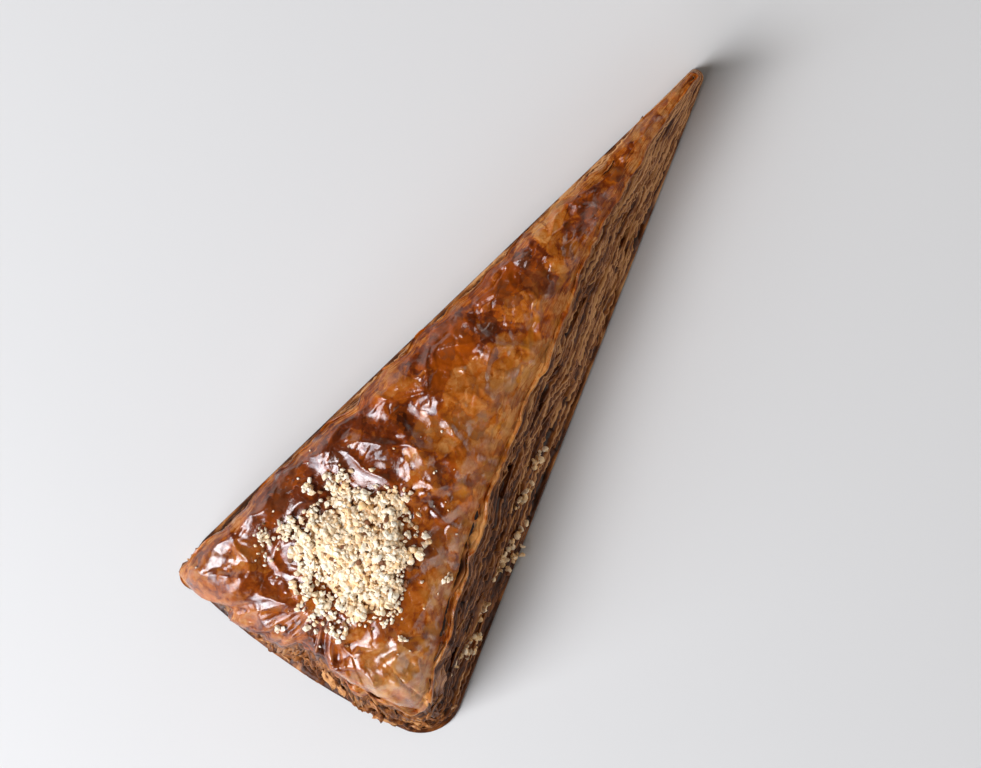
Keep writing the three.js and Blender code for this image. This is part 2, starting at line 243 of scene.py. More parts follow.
def top_height(x, y):
    """The solid's own top."""
    radius, _ = from_centre(x, y)
    to_leaning, to_upright, to_end = edge_distances(x, y)
    near_leaning = 1 - np.clip(to_leaning / LEANING_ROUND, 0, 1)
    near_upright = 1 - np.clip(to_upright / UPRIGHT_ROUND, 0, 1)
    near_end = 1 - np.clip(to_end / END_ROUND, 0, 1)
    crown = CROWN_HEIGHT - TIP_SLOPE * np.maximum(0, FLAT_CROWN_LENGTH - radius)
    dome = (
        crown
        - LEANING_DROP * near_leaning**2
        - UPRIGHT_DROP * (1 - np.sqrt(1 - near_upright**2))
        - END_DROP * (1 - np.sqrt(1 - near_end**2))
    )
    inside = smooth(np.minimum(np.minimum(to_leaning, to_upright), to_end), 0, FADE_AT_EDGE * 2)
    crease_line = CREASE_X + 0.35 * (y - CREASE_Y) - 0.02 * (y - CREASE_Y) ** 2
    crease = (
        CREASE_HEIGHT
        * np.exp(-(((x - crease_line) / CREASE_WIDTH) ** 2))
        * np.exp(-(((y - CREASE_Y) / CREASE_REACH) ** 2))
    )
    swell = (
        SWELL_HEIGHT
        * np.exp(-(((x - SWELL_X) / SWELL_LENGTH) ** 2))
        * np.exp(-(((y - SWELL_Y) / SWELL_REACH) ** 2))
    )
    tear = (
        TEAR_DEPTH
        * smooth(x, TEAR_X - 1, TEAR_X + 1)
        * (1 - smooth(x, TEAR_X + 2, TEAR_X + 16))
        * np.exp(-(((y - TEAR_Y) / TEAR_REACH) ** 2))
    )
    return dome + inside * (WRINKLE_HEIGHT * slow_wrinkles(x, y) + crease + swell - tear)


def heap_reach(turn):
    return 1 + 0.13 * np.sin(2 * turn + 0.4) + 0.1 * np.sin(3 * turn + 2.2) + 0.06 * np.sin(5 * turn)


def mound_height(x, y):
    across = (x - HEAP_X) / HEAP_LENGTH
    aside = (y - HEAP_Y) / HEAP_WIDTH
    out = np.hypot(across, aside) / heap_reach(np.arctan2(aside, across))
    return HEAP_HEIGHT * np.maximum(0, 1 - out**2)


# ---------------------------------------------------------------- the top's fine relief and colour fields

FOLDS = 46


def fold_lines(x, y):
    """Short raised folds of the top sheet: Gaussian ridges along bent lines at seeded places."""
    total = np.zeros(np.shape(x))
    for k in range(FOLDS):
        reach = BAKE_RADIUS - 12 - 128 * scatter(k, 21) ** 1.25
        angle = HALF_ANGLE * (1.7 * scatter(k, 22) - 0.75)
        centre_x = BAKE_CENTRE_X - reach * np.cos(angle)
        centre_y = reach * np.sin(angle)
        turn = np.pi * (0.5 + 0.8 * (scatter(k, 23) - 0.5)) + (np.pi / 2 if k % 4 == 0 else 0)
        length = 3.0 + 6.0 * scatter(k, 24)
        width = 0.6 + 0.7 * scatter(k, 25)
        height = 0.15 + 0.45 * scatter(k, 26)
        along = (x - centre_x) * np.cos(turn) + (y - centre_y) * np.sin(turn)
        aside = (y - centre_y) * np.cos(turn) - (x - centre_x) * np.sin(turn)
        bent = aside - (scatter(k, 27) - 0.5) * 0.22 * along**2 + 0.7 * np.sin(0.9 * along + k)
        total += height * np.exp(-((bent / width) ** 2) - (along / length) ** 2)
    return total


PLATE_SIZE = 6.5
BROAD_FOLDS = 13


def broad_folds(x, y):
    """Long soft folds that run out from the heap toward the rim, and a few across the middle."""
    total = np.zeros(np.shape(x))
    for k in range(BROAD_FOLDS):
        turn = GOLDEN_ANGLE * k + 0.9
        reach = 17 + 9 * scatter(k, 51)
        centre_x = HEAP_X - 4 + reach * 1.25 * np.cos(turn)
        centre_y = HEAP_Y + reach * np.sin(turn)
        heading = turn + 0.9 * (scatter(k, 52) - 0.5) + (0.9 if k % 3 == 0 else 0)
        length = 6 + 6 * scatter(k, 53)
        width = 1.3 + 1.1 * scatter(k, 54)
        height = 0.35 + 0.45 * scatter(k, 55)
        along = (x - centre_x) * np.cos(heading) + (y - centre_y) * np.sin(heading)
        aside = (y - centre_y) * np.cos(heading) - (x - centre_x) * np.sin(heading)
        bent = aside - (scatter(k, 56) - 0.5) * 0.1 * along**2 + 0.8 * np.sin(0.45 * along + 2 * k)
        total += height * np.exp(-((bent / width) ** 2) - (along / length) ** 2)
    return total


CORNER_FOLDS = 12


def corner_folds(x, y):
    """Short folds that run down the shoulder between the heap and the outer leaning corner."""
    total = np.zeros(np.shape(x))
    for k in range(CORNER_FOLDS):
        centre_x = -59 + 9 * (scatter(k, 64) - 0.5) * 1.7
        centre_y = -13 + 22 * (scatter(k, 65) - 0.5)
        heading = np.pi * (0.95 + 0.5 * (scatter(k, 66) - 0.5))
        length = 3.2 + 3.5 * scatter(k, 67)
        width = 0.9 + 0.8 * scatter(k, 68)
        height = 0.4 + 0.45 * scatter(k, 69)
        along = (x - centre_x) * np.cos(heading) + (y - centre_y) * np.sin(heading)
        aside = (y - centre_y) * np.cos(heading) - (x - centre_x) * np.sin(heading)
        bent = aside - (scatter(k, 70) - 0.5) * 0.2 * along**2 + 0.6 * np.sin(0.8 * along + k)
        total += height * np.exp(-((bent / width) ** 2) - (along / length) ** 2)
    return total


def torn_field(x, y):
    warp = 1.6 * noise(x, y, 3.0, 3.4, 31)
    return noise(x + warp, 1.3 * y - warp, 0.0, 17.0, 33) + 0.28 * noise(x, y, 0.0, 5.0, 34) - 0.1


def second_field(x, y):
    """Smaller patches, more of them toward the tip."""
    warp = 1.2 * noise(x, y, 5.0, 2.6, 35)
    field = noise(x - warp, 1.5 * y + warp, 9.0, 10.0, 36) + 0.3 * noise(x, y, 2.0, 3.6, 37)
    return field - 0.3 + 0.2 * smooth(x, 5, 40)


def torn_sheets(x, y):
    """Where a torn upper sheet lies over the next: 0 to 1 with a sharp ragged border."""
    return smooth(torn_field(x, y), 0, 0.03)


def second_tear(x, y):
    return smooth(second_field(x, y), 0, 0.03)


def tear_shadow(x, y):
    """Painted shadow: a thin dark line just outside each torn border, at the foot of the upper sheet's edge."""
    first = np.exp(-(((torn_field(x, y) + 0.02) / 0.022) ** 2))
    second = np.exp(-(((second_field(x, y) + 0.02) / 0.025) ** 2))
    return np.maximum(0.7 * first, second)


def plates(x, y, size, seed):
    """Angular scraps: each place takes its nearest jittered cell. Gives the scrap's number and the gap to its rim."""
    bent_x = (x + 0.9 * noise(x, y, 1.0, 3.0, seed)) / size + 64
    bent_y = (y + 0.9 * noise(x, y, 6.0, 3.0, seed)) / size + 64
    cell_x = np.floor(bent_x)
    cell_y = np.floor(bent_y)
    nearest = np.full(np.shape(bent_x), 9.0)
    second = nearest.copy()
    value = np.zeros(np.shape(bent_x))
    for step in range(9):
        at_x = cell_x + step // 3 - 1
        at_y = cell_y + step % 3 - 1
        index = at_x + 131 * at_y
        away = np.hypot(at_x + scatter(index, seed) - bent_x, at_y + scatter(index, seed + 1) - bent_y)
        closer = away < nearest
        second = np.where(closer, nearest, np.minimum(second, away))
        value = np.where(closer, scatter(index, seed + 2), value)
        nearest = np.where(closer, away, nearest)
    return value, (second - nearest) * size


def plate_share(x):
    """Scraps show most toward the tip."""
    return 0.35 + 0.65 * smooth(x, -15, 20)


BEAD_GAP = 4.6
BEAD_SIZE = 1.05
BEAD_HEIGHT = 0.3
BEAD_SHARE = 0.55


def beads(x, y):
    """Low uneven beads of syrup, one at most in each jittered cell, beyond the heap: 0 to 1 at a bead's top."""
    bent_x = (x + 0.5 * noise(x, y, 3.0, 1.3, 97)) / BEAD_GAP + 64
    bent_y = (y + 0.5 * noise(x, y, 8.0, 1.3, 98)) / BEAD_GAP + 64
    total = np.zeros(np.shape(bent_x))
    for step in range(9):
        at_x = np.floor(bent_x) + step // 3 - 1
        at_y = np.floor(bent_y) + step % 3 - 1
        index = at_x + 131 * at_y
        away = np.hypot(at_x + scatter(index, 91) - bent_x, at_y + scatter(index, 92) - bent_y) * BEAD_GAP
        size = BEAD_SIZE * (0.55 + 0.6 * scatter(index, 93)) * (scatter(index, 94) < BEAD_SHARE) + 0.01
        total = np.maximum(total, np.clip(1 - (away / size) ** 2, 0, 1))
    return total * (smooth(x, -34, -24) + smooth(x, -48, -56))


def cover_relief(x, y):
    bend_x = x + 1.8 * noise(x, y, 1.0, 9.0, 41)
    bend_y = y + 1.8 * noise(x, y, 7.0, 9.0, 42)
    ridged = (1 - np.clip(np.abs(noise(bend_x, 0.8 * bend_y, 0.0, 10.5, 43)) * 1.7, 0, 1)) ** 3
    creased = (1 - np.clip(np.abs(noise(bend_x, 0.7 * bend_y, 21.0, 5.2, 49)) * 1.6, 0, 1)) ** 4
    domes = 1 - np.clip(np.abs(noise(bend_x, bend_y, 4.0, 5.2, 44)) * 2.0, 0, 1) ** 2
    small_domes = 1 - np.clip(np.abs(noise(bend_x, bend_y, 11.0, 2.7, 47)) * 2.0, 0, 1) ** 2
    pucker = noise(x, y, 2.0, 2.1, 45)
    grain = noise(x, y, 6.0, 0.95, 46)
    lumpy = 0.5 + 0.5 * np.clip(2 * noise(x, y, 15.0, 16.0, 48), -1, 1)
    fine = 0.25 + 0.3 * smooth(x, -45, -5)
    calm = 0.45 + 0.1 * smooth(x, -55, -15)
    scrap, rim = plates(x, y, PLATE_SIZE, 61)
    return (
        0.75 * ridged
        + 0.32 * creased * calm
        - (0.1 + 0.25 * lumpy) * domes * calm
        - 0.12 * lumpy * small_domes * fine
        + 0.08 * pucker * fine
        + 0.03 * grain * fine
        + 0.6 * fold_lines(x, y) * fine
        + 1.25 * broad_folds(x, y)
        + corner_folds(x, y)
        + 0.2 * torn_sheets(x, y)
        + 0.16 * second_tear(x, y)
        + 0.3 * plate_share(x) * scrap * smooth(rim, 0.1, 0.9)
        + BEAD_HEIGHT * beads(x, y)
        + 0.05
    )


def cover_height(x, y):
    to_leaning, to_upright, to_end = edge_distances(x, y)
    nearest = np.minimum(np.minimum(to_leaning, to_upright), to_end)
    rolled = 0.55 * np.clip(1 - nearest / 1.8, 0, 1) ** 2
    return top_height(x, y) + cover_relief(x, y) * smooth(nearest, -0.5, 2.5) - rolled


# ---------------------------------------------------------------- the outline and the walls


class Outline:
    """Columns round the slice, counter-clockwise from the leaning side's outer end."""

    def __init__(self):
        outer_reach = np.sqrt((BAKE_RADIUS - CORNER_RADIUS) ** 2 - CORNER_RADIUS**2)
        tip_reach = TIP_RADIUS / np.tan(HALF_ANGLE)
        corner_angle = HALF_ANGLE - np.arcsin(CORNER_RADIUS / (BAKE_RADIUS - CORNER_RADIUS))
        corner_x = BAKE_CENTRE_X - (BAKE_RADIUS - CORNER_RADIUS) * np.cos(corner_angle)
        corner_y = (BAKE_RADIUS - CORNER_RADIUS) * np.sin(corner_angle)
        square = np.pi / 2 - HALF_ANGLE
        self.places = []
        self.normals = []
        self.spine = []
        steps = np.arange(SIDE_COLUMNS)
        reach = outer_reach + (tip_reach - outer_reach) * steps / (SIDE_COLUMNS - 1)
        self._side(-1, reach, steps)
        self._arc(BAKE_CENTRE_X - TIP_DISTANCE, 0, TIP_RADIUS, -square, square, TIP_COLUMNS, SIDE_COLUMNS - 1)
        self._side(1, reach[::-1], steps[::-1])
        half = np.pi - corner_angle
        turned = np.pi + corner_angle
        self._arc(corner_x, corner_y, CORNER_RADIUS, square, half, CORNER_COLUMNS, 0)
        self._arc(BAKE_CENTRE_X, 0, BAKE_RADIUS, half, turned, END_COLUMNS, 0)
        self._arc(corner_x, -corner_y, CORNER_RADIUS, turned, 2 * np.pi - square, CORNER_COLUMNS, 0)
        self.place = np.concatenate(self.places)
        self.normal = np.concatenate(self.normals)
        self.step = np.concatenate(self.spine)
        self.count = len(self.place)
        self.leaning = smooth(-self.normal[:, 1], 0.35, 0.95)
        self.upright = smooth(self.normal[:, 1], 0.35, 0.95)
        rest = 1 - self.leaning - self.upright
        self.end = np.where(self.normal[:, 0] < 0, rest, 0)
        self.tip = np.where(self.normal[:, 0] < 0, 0, rest)
        self.radius, self.angle = from_centre(self.place[:, 0], self.place[:, 1])
        self.along = self.radius * (1 + 0.15 * np.sign(self.angle))
        self.room = np.minimum(1, 2 * self.radius * np.sin(HALF_ANGLE) / CLEAR_WIDTH)
        gaps = np.linalg.norm(np.roll(self.place, -1, 0) - self.place, axis=1)
        self.run = np.concatenate([[0], np.cumsum(gaps)[:-1]])
        self.length = gaps.sum()
        slow = np.clip(1.6 * noise(self.run, 0.0, 0.0, 8.5, 63), -1, 1)
        quick = np.clip(1.6 * noise(self.run, 0.0, 2.0, 3.3, 64), -1, 1)
        both_sides = (self.leaning + self.upright) * self.room
        self.crumple = self.end * (1.9 * slow + 0.8 * quick + 0.7) + both_sides * (0.5 * slow + 0.3 * quick)
        self.inward = spine[self.step] - self.place
        self.inward /= np.linalg.norm(self.inward, axis=1, keepdims=True)
        self.edge = self.moved(self.inset(1.0))
        self.edge_height = top_height(self.edge[:, 0], self.edge[:, 1])

    def _arc(self, centre_x, centre_y, radius, start, stop, count, step):
        turn = start + (stop - start) * (np.arange(count) + 0.5) / count
        normal = np.stack([np.cos(turn), np.sin(turn)], 1)
        self.places.append(np.array([centre_x, centre_y]) + radius * normal)
        self.normals.append(normal)
        self.spine.append(np.full(count, step))

    def _side(self, sign, reach, steps):
        x = BAKE_CENTRE_X - reach * np.cos(HALF_ANGLE)
        y = sign * reach * np.sin(HALF_ANGLE)
        self.places.append(np.stack([x, y], 1))
        normal = np.array([np.sin(HALF_ANGLE), sign * np.cos(HALF_ANGLE)])
        self.normals.append(np.repeat(normal[None], len(reach), 0))
        self.spine.append(steps)

    def wave(self):
        """How far the cut edges wander: gently along the sides, more across the torn outer end."""
        across = self.angle * BAKE_RADIUS
        side = (
            0.5
            + 0.24 * np.sin(0.16 * self.along + 1)
            + 0.16 * np.sin(0.37 * self.along + 0.4)
            + 0.1 * np.sin(0.61 * self.along + 2.6)
        )
        end = 0.5 + 0.3 * np.sin(0.21 * across + 2.2) + 0.2 * np.sin(0.52 * across + 0.9)
        return self.room * (SIDE_WAVE * side * (self.leaning + self.upright) + END_WAVE * end * self.end)

    def inset(self, share):
        """How far the plain wall stands inside the base outline at a share of its height."""
        slope = smooth(share, 0.1, 1.05)
        lean = leaning_inset(self.radius) * share**1.15
        stand = UPRIGHT_INSET * (1 - 2.4 * share * (1 - share))
        plain = (
            self.leaning * lean
            + self.upright * stand
            + self.end * end_inset(self.angle) * slope
            + 4 * self.end * (self.leaning + self.upright) * CORNER_EASE * slope
            + self.tip * TIP_INSET * share
        )
        return plain + self.wave() * smooth(share, 0, 0.35) + self.crumple * smooth(share, 0.55, 1.0)

    def moved(self, inset):
        """The outline's places moved inward."""
        return self.place + self.inward * inset[:, None]


def spine_places():
    """The middle line, from below the heap to just inside the tip."""
    outer_reach = BAKE_RADIUS - END_INSET - END_ROUND
    tip_reach = TIP_DISTANCE + 1.2
    reach = outer_reach + (tip_reach - outer_reach) * np.arange(SIDE_COLUMNS) / (SIDE_COLUMNS - 1)
    return np.stack([BAKE_CENTRE_X - reach, (leaning_inset(reach) - UPRIGHT_INSET) / 2], 1)


spine = spine_places()
outline = Outline()


def wall_form(share):
    """The wall's inset with its bundles of sheets, crags and wander, as the solid has it, for every column."""
    row = share * 2 * BUNDLES
    groove = 2 * np.floor(row / 2) + 1
    along = outline.along
    ripple = 0.62 + 0.38 * np.sin(0.29 * along + 1.9 * groove) * np.sin(0.083 * along + 0.7 * groove)
    depth = GROOVE_DEPTH + (END_GROOVE_DEPTH - GROOVE_DEPTH) * outline.end
    bundle = depth * ripple * np.sin(np.pi * BUNDLES * share) ** 2
    wear = RIDGE_WEAR * (0.5 + 0.5 * np.sin(2.3 * row + 0.11 * along)) * np.cos(np.pi * BUNDLES * share) ** 2
    crag = CRAG_DEPTH * outline.end * np.clip(crags(outline.angle, share * CROWN_HEIGHT), 0, 1.2)
    wander = WALL_WANDER * (0.5 + 0.5 * np.sin(0.075 * along + 2.4 * share + 0.5))
    off = np.sin(np.pi * np.minimum(share, 0.92))
    started = smooth(share, 0.0, 0.03)
    return outline.inset(share) + outline.room * started * (bundle + wear + (crag * 0.7 + wander) * off)


def wall_ring(sheet, share_in_sheet, groove_share):
    """One ring of the layered wall: its places, and how much of a sheet's edge it is (0 in a groove, 1 at the edge),
    which paints the wall lighter at the edges and darker in the grooves as painted shade.
    """
    share = (sheet + share_in_sheet) / SHEETS
    run = outline.run
    far = 97.3 * sheet
    step = SHEET_STEP * (0.5 + 0.5 * np.clip(1.7 * noise(run, far, 0.0, 11.0, 51), -1, 1))
    rag = SHEET_RAG * np.abs(noise(run, far, 3.0, 1.5, 52)) * 2
    chip = SHEET_CHIP * smooth(noise(run, far, 5.0, 4.2, 53), 0.28, 0.5)
    groove = SHEET_GROOVE * groove_share * (0.6 + 0.8 * np.abs(noise(run, far, 8.0, 6.0, 54)))
    x, y = outline.place.T
    height = outline.edge_height * share
    crumple = outline.end * (
        END_CRUMPLE * np.clip(noise(x, y, height, 5.5, 55) + 0.1, -0.2, 1)
        + 0.8 * np.clip(noise(x, y, height, 2.3, 56), -0.3, 1)
        + 0.35 * noise(x, y, height, 1.1, 57)
    )
    fine = (step + rag + chip) * (1 + 0.5 * outline.end) + groove * (1 + 0.7 * outline.end) + crumple
    low = 1 if sheet > 0 else share_in_sheet * 0.7
    proud = 0.3 - 0.8 * smooth(share, 0.84, 0.93)
    inset = np.maximum(wall_form(share) + outline.room * low * fine - proud, LEAST_INSET)
    place = outline.moved(inset)
    slow = noise(run, height, 0.0, 24.0, 58) * 0.9 + noise(run, height * 2, 0.0, 8.0, 59) * 0.35
    tumble = outline.end * (0.9 * noise(x, y, height, 6.0, 60) + 0.4 * noise(x, y, height, 2.6, 61))
    sway = (LAYER_SWAY * np.sin(0.09 * outline.along + 1.2) + slow + tumble) * np.sin(np.pi * share)
    z = FOOT_RISE + (outline.edge_height - FOOT_RISE) * share + sway
    # Painted shade: darker in a groove and where a sheet's edge is set back or chipped.
    painted_edge_light = 1 - 0.75 * groove_share - 0.35 * step - 0.25 * chip
    tint = scatter(sheet, 4) * 0.5 + 0.5 * (0.5 + noise(run, far, 2.0, 5.0, 62))
    return np.column_stack([place, z]), np.clip(painted_edge_light, 0, 1), np.clip(tint, 0, 1)


def foot_ring():
    """The flat foot: a triangle from the middle of the tip to the middles of the outer corners, its edges bowed in."""
    count = outline.count
    tip = SIDE_COLUMNS + TIP_COLUMNS // 2
    upright_corner = 2 * SIDE_COLUMNS + TIP_COLUMNS + CORNER_COLUMNS // 2
    leaning_corner = count - CORNER_COLUMNS // 2
    corner = outline.moved(np.full(count, FOOT_INSET))
    run = np.concatenate([outline.run, outline.run + outline.length])
    places = np.zeros((count, 3))
    for first, last in ((tip, upright_corner), (upright_corner, leaning_corner), (leaning_corner, count + tip)):
        picked = np.arange(first, last)
        share = ((run[picked] - run[first]) / (run[last] - run[first]))[:, None]
        span = corner[last % count] - corner[first]
        bow = np.array([-span[1], span[0]]) / np.linalg.norm(span) * FOOT_BOW
        places[picked % count, :2] = corner[first] + span * share + bow * np.sin(np.pi * share)
    return places


# ---------------------------------------------------------------- meshes


def make_piece(name, places, faces, material, shares=None, smooth_faces=True, replaced=True):
    """A mesh in metres from places in millimetres, with named values per vertex for its material."""
    mesh = bpy.data.meshes.new(name)
    mesh.vertices.add(len(places))
    kept = np.clip(np.asarray(places, float) * MM, np.array(start_box[0]), np.array(start_box[1]))
    mesh.vertices.foreach_set("co", kept.ravel())
    sizes = np.concatenate([np.full(len(part), part.shape[1]) for part in faces])
    corners = np.concatenate([part.ravel() for part in faces])
    starts = np.concatenate([[0], np.cumsum(sizes)[:-1]])
    mesh.loops.add(len(corners))
    mesh.loops.foreach_set("vertex_index", corners.astype(np.int32))
    mesh.polygons.add(len(sizes))
    mesh.polygons.foreach_set("loop_start", starts.astype(np.int32))
    mesh.polygons.foreach_set("use_smooth", np.full(len(sizes), smooth_faces))
    for share_name, values in (shares or {}).items():
        attribute = mesh.attributes.new(share_name, "FLOAT", "POINT")
        attribute.data.foreach_set("value", np.asarray(values, np.float32).ravel())
    mesh.materials.append(material)
    mesh.update(calc_edges=True)
    mesh.validate()
    piece = bpy.data.objects.new(name, mesh)
    bpy.context.scene.collection.objects.link(piece)
    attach(piece, "root")
    if replaced:
        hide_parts(NODE)
    return piece


def ring_faces(rings, count):
    """Quads between each ring and the next, outward for rings that rise round a counter-clockwise outline."""
    k = np.arange(count)
    low = (np.arange(rings - 1) * count)[:, None]
    a = low + k
    b = low + (k + 1) % count
    return np.stack([a, b, b + count, a + count], -1).reshape(-1, 4)


def spine_faces(ring_start, spine_start, upward):
    """Closes a ring on the middle line: quads along the sides and triangles round its two ends."""
    k = np.arange(outline.count)
    following = (k + 1) % outline.count
    a = ring_start + k
    b = ring_start + following
    c = spine_start + outline.step[following]
    d = spine_start + outline.step[k]
    level = c == d
    quads = np.stack([a, b, c, d], -1)[~level]
    triangles = np.stack([a, b, c], -1)[level]
    if upward:
        return [quads, triangles]
    return [quads[:, ::-1], triangles[:, ::-1]]


def closed_stack(name, rings, low_spine, high_spine, material, shares):
    """A closed body from rings of the outline, closed below and above on the middle line."""
    rings = np.asarray(rings)
    places = np.vstack([rings.reshape(-1, 3), low_spine, high_spine])
    low_start = rings.shape[0] * rings.shape[1]
    high_start = low_start + len(low_spine)
    faces = [ring_faces(*rings.shape[:2])]
    faces += spine_faces(0, low_start, upward=False)
    faces += spine_faces(low_start - rings.shape[1], high_start, upward=True)
    filled = {key: np.concatenate([np.ravel(v), np.zeros(2 * len(low_spine))]) for key, v in shares.items()}
    return make_piece(name, places, faces, material, filled)


# ---------------------------------------------------------------- materials


def new_material(name):
    material = bpy.data.materials.new(name)
    material.use_nodes = True
    tree = material.node_tree
    tree.nodes.clear()
    output = tree.nodes.new("ShaderNodeOutputMaterial")
    shader = tree.nodes.new("ShaderNodeBsdfPrincipled")
    tree.links.new(shader.outputs[0], output.inputs[0])
    return material, tree, shader


def link(tree, source, target):
    tree.links.new(source, target)


def field(tree, name):
    node = tree.nodes.new("ShaderNodeAttribute")
    node.attribute_name = name
    return node.outputs["Fac"]


def place_noise(tree, size_mm, detail, roughness=0.55, stretch=(1, 1, 1)):
    coordinates = tree.nodes.new("ShaderNodeTexCoord")
    mapping = tree.nodes.new("ShaderNodeMapping")
    mapping.inputs["Scale"].default_value = stretch
    node = tree.nodes.new("ShaderNodeTexNoise")
    node.inputs["Scale"].default_value = 1 / (size_mm * MM)
    node.inputs["Detail"].default_value = detail
    node.inputs["Roughness"].default_value = roughness
    link(tree, coordinates.outputs["Object"], mapping.inputs["Vector"])
    link(tree, mapping.outputs["Vector"], node.inputs["Vector"])
    return node.outputs["Fac"]


def warped_place(tree, size_mm, amount_mm):
    """The object's own coordinates pushed about by noise, so that cells drawn on them get ragged borders."""
    coordinates = tree.nodes.new("ShaderNodeTexCoord")
    node = tree.nodes.new("ShaderNodeTexNoise")
    node.inputs["Scale"].default_value = 1 / (size_mm * MM)
    node.inputs["Detail"].default_value = 3
    push = tree.nodes.new("ShaderNodeVectorMath")
    push.operation = "MULTIPLY_ADD"
    push.inputs[1].default_value = (amount_mm * MM,) * 3
    link(tree, coordinates.outputs["Object"], node.inputs["Vector"])
    link(tree, node.outputs["Color"], push.inputs[0])
    link(tree, coordinates.outputs["Object"], push.inputs[2])
    return push.outputs[0]


def cells(tree, vector, size_mm, feature="F1"):
    node = tree.nodes.new("ShaderNodeTexVoronoi")
    node.feature = feature
    node.inputs["Scale"].default_value = 1 / (size_mm * MM)
    link(tree, vector, node.inputs["Vector"])
    if feature == "DISTANCE_TO_EDGE":
        return node.outputs["Distance"]
    split = tree.nodes.new("ShaderNodeSeparateColor")
    link(tree, node.outputs["Color"], split.inputs[0])
    return split.outputs


def ramp(tree, value, stops):
    node = tree.nodes.new("ShaderNodeValToRGB")
    elements = node.color_ramp.elements
    while len(elements) < len(stops):
        elements.new(0.5)
    for element, (at, colour) in zip(elements, stops):
        element.position = at
        element.color = (*colour, 1)
    link(tree, value, node.inputs["Fac"])
    return node.outputs["Color"]


def math(tree, kind, first, second):
    node = tree.nodes.new("ShaderNodeMath")
    node.operation = kind
    for socket, value in zip(node.inputs, (first, second)):
        if isinstance(value, (int, float)):
            socket.default_value = value
        else:
            link(tree, value, socket)
    return node.outputs[0]


def remap(tree, value, low, high, to_low, to_high):
    node = tree.nodes.new("ShaderNodeMapRange")
    link(tree, value, node.inputs["Value"])
    for name, number in (("From Min", low), ("From Max", high), ("To Min", to_low), ("To Max", to_high)):
        node.inputs[name].default_value = number
    return node.outputs["Result"]


def mix(tree, share, first, second):
    node = tree.nodes.new("ShaderNodeMix")
    node.data_type = "RGBA"
    link(tree, share, node.inputs["Factor"])
    for socket, value in ((node.inputs["A"], first), (node.inputs["B"], second)):
        if isinstance(value, tuple):
            socket.default_value = (*value, 1)
        else:
            link(tree, value, socket)
    return node.outputs["Result"]


def bump(tree, shader, height, distance_mm, strength=1.0, below=None):
    node = tree.nodes.new("ShaderNodeBump")
    node.inputs["Distance"].default_value = distance_mm * MM
    if isinstance(strength, float):
        node.inputs["Strength"].default_value = strength
    else:
        link(tree, strength, node.inputs["Strength"])
    link(tree, height, node.inputs["Height"])
    if below is not None:
        link(tree, below, node.inputs["Normal"])
    return node.outputs["Normal"]


def linear(red, green, blue):
    """Display values from 0 to 255 as linear light."""
    shares = np.array([red, green, blue]) / 255
    return tuple(np.where(shares <= 0.04045, shares / 12.92, ((shares + 0.055) / 1.055) ** 2.4).tolist())


DEEP_BROWN = linear(68, 24, 1)
RED_BROWN = linear(112, 42, 3)
AMBER = linear(176, 80, 2)
CARAMEL = linear(170, 90, 18)
PALE_SHEET = linear(202, 140, 76)
UMBER = linear(100, 58, 34)
# The darkest wall colour: dark syrup, and the painted shade in the grooves between sheets.
SYRUP_DARK_AND_GROOVE_SHADE = linear(40, 18, 5)
LAYER_DARK = linear(92, 46, 15)
LAYER_BROWN = linear(154, 92, 42)
LAYER_LIGHT = linear(216, 156, 98)
LIP_GOLD = linear(178, 112, 30)
NUT_SKIN = linear(120, 68, 28)
NUT_CREAM = linear(250, 204, 140)
NUT_PALE = linear(255, 246, 224)


def cover_material():
    material, tree, shader = new_material("glazed_pastry")
    speckle = place_noise(tree, 0.9, 4, 0.65)
    streak = place_noise(tree, 3.0, 6, 0.65, (0.6, 1, 1))
    ragged = warped_place(tree, 2.6, 3.4)
    patch = cells(tree, ragged, 3.8)
    flake = cells(tree, ragged, 1.5)
    seam = cells(tree, ragged, 3.8, "DISTANCE_TO_EDGE")
    shade = math(tree, "ADD", remap(tree, speckle, 0.3, 0.7, -0.12, 0.12), remap(tree, streak, 0.3, 0.7, -0.1, 0.1))
    mosaic = math(tree, "ADD", remap(tree, patch[0], 0, 1, -0.12, 0.12), remap(tree, flake[0], 0, 1, -0.09, 0.09))
    lined = math(tree, "ADD", mosaic, remap(tree, seam, 0, 0.05, -0.09, 0))
    mottled = math(tree, "ADD", field(tree, "tone"), math(tree, "ADD", shade, lined))
    colour = ramp(tree, mottled, [(0.0, DEEP_BROWN), (0.34, RED_BROWN), (0.62, CARAMEL), (1.0, PALE_SHEET)])
    spots = math(tree, "MULTIPLY", remap(tree, flake[1], 0.55, 0.75, 0, 0.6), remap(tree, streak, 0.4, 0.6, 0, 1))
    glowing = math(tree, "MAXIMUM", field(tree, "amber"), spots)
    warm = mix(tree, glowing, colour, AMBER)
    umber = math(tree, "MULTIPLY", remap(tree, patch[2], 0.76, 0.84, 0, 0.5), remap(tree, speckle, 0.35, 0.6, 0.2, 1))
    cooled = mix(tree, umber, warm, UMBER)
    rimmed = mix(tree, field(tree, "gold"), cooled, LIP_GOLD)
    link(tree, rimmed, shader.inputs["Base Color"])
    film = place_noise(tree, 1.3, 5, 0.7)
    link(tree, remap(tree, film, 0.35, 0.7, 0.4, 0.6), shader.inputs["Roughness"])
    shader.inputs["Specular IOR Level"].default_value = 0.08
    shader.inputs["Subsurface Weight"].default_value = 0.04
    shader.inputs["Subsurface Radius"].default_value = (1.0, 0.35, 0.12)
    shader.inputs["Subsurface Scale"].default_value = 0.0007
    link(tree, field(tree, "wet"), shader.inputs["Coat Weight"])
    shader.inputs["Coat Roughness"].default_value = 0.05
    shader.inputs["Coat IOR"].default_value = 1.8
    height = math(tree, "ADD", speckle, math(tree, "MULTIPLY", flake[0], 0.3))
    normal = bump(tree, shader, height, 0.14, 0.6)
    link(tree, normal, shader.inputs["Normal"])
    film_normal = bump(tree, shader, film, 0.16, field(tree, "film"), normal)
    link(tree, film_normal, shader.inputs["Coat Normal"])
    return material


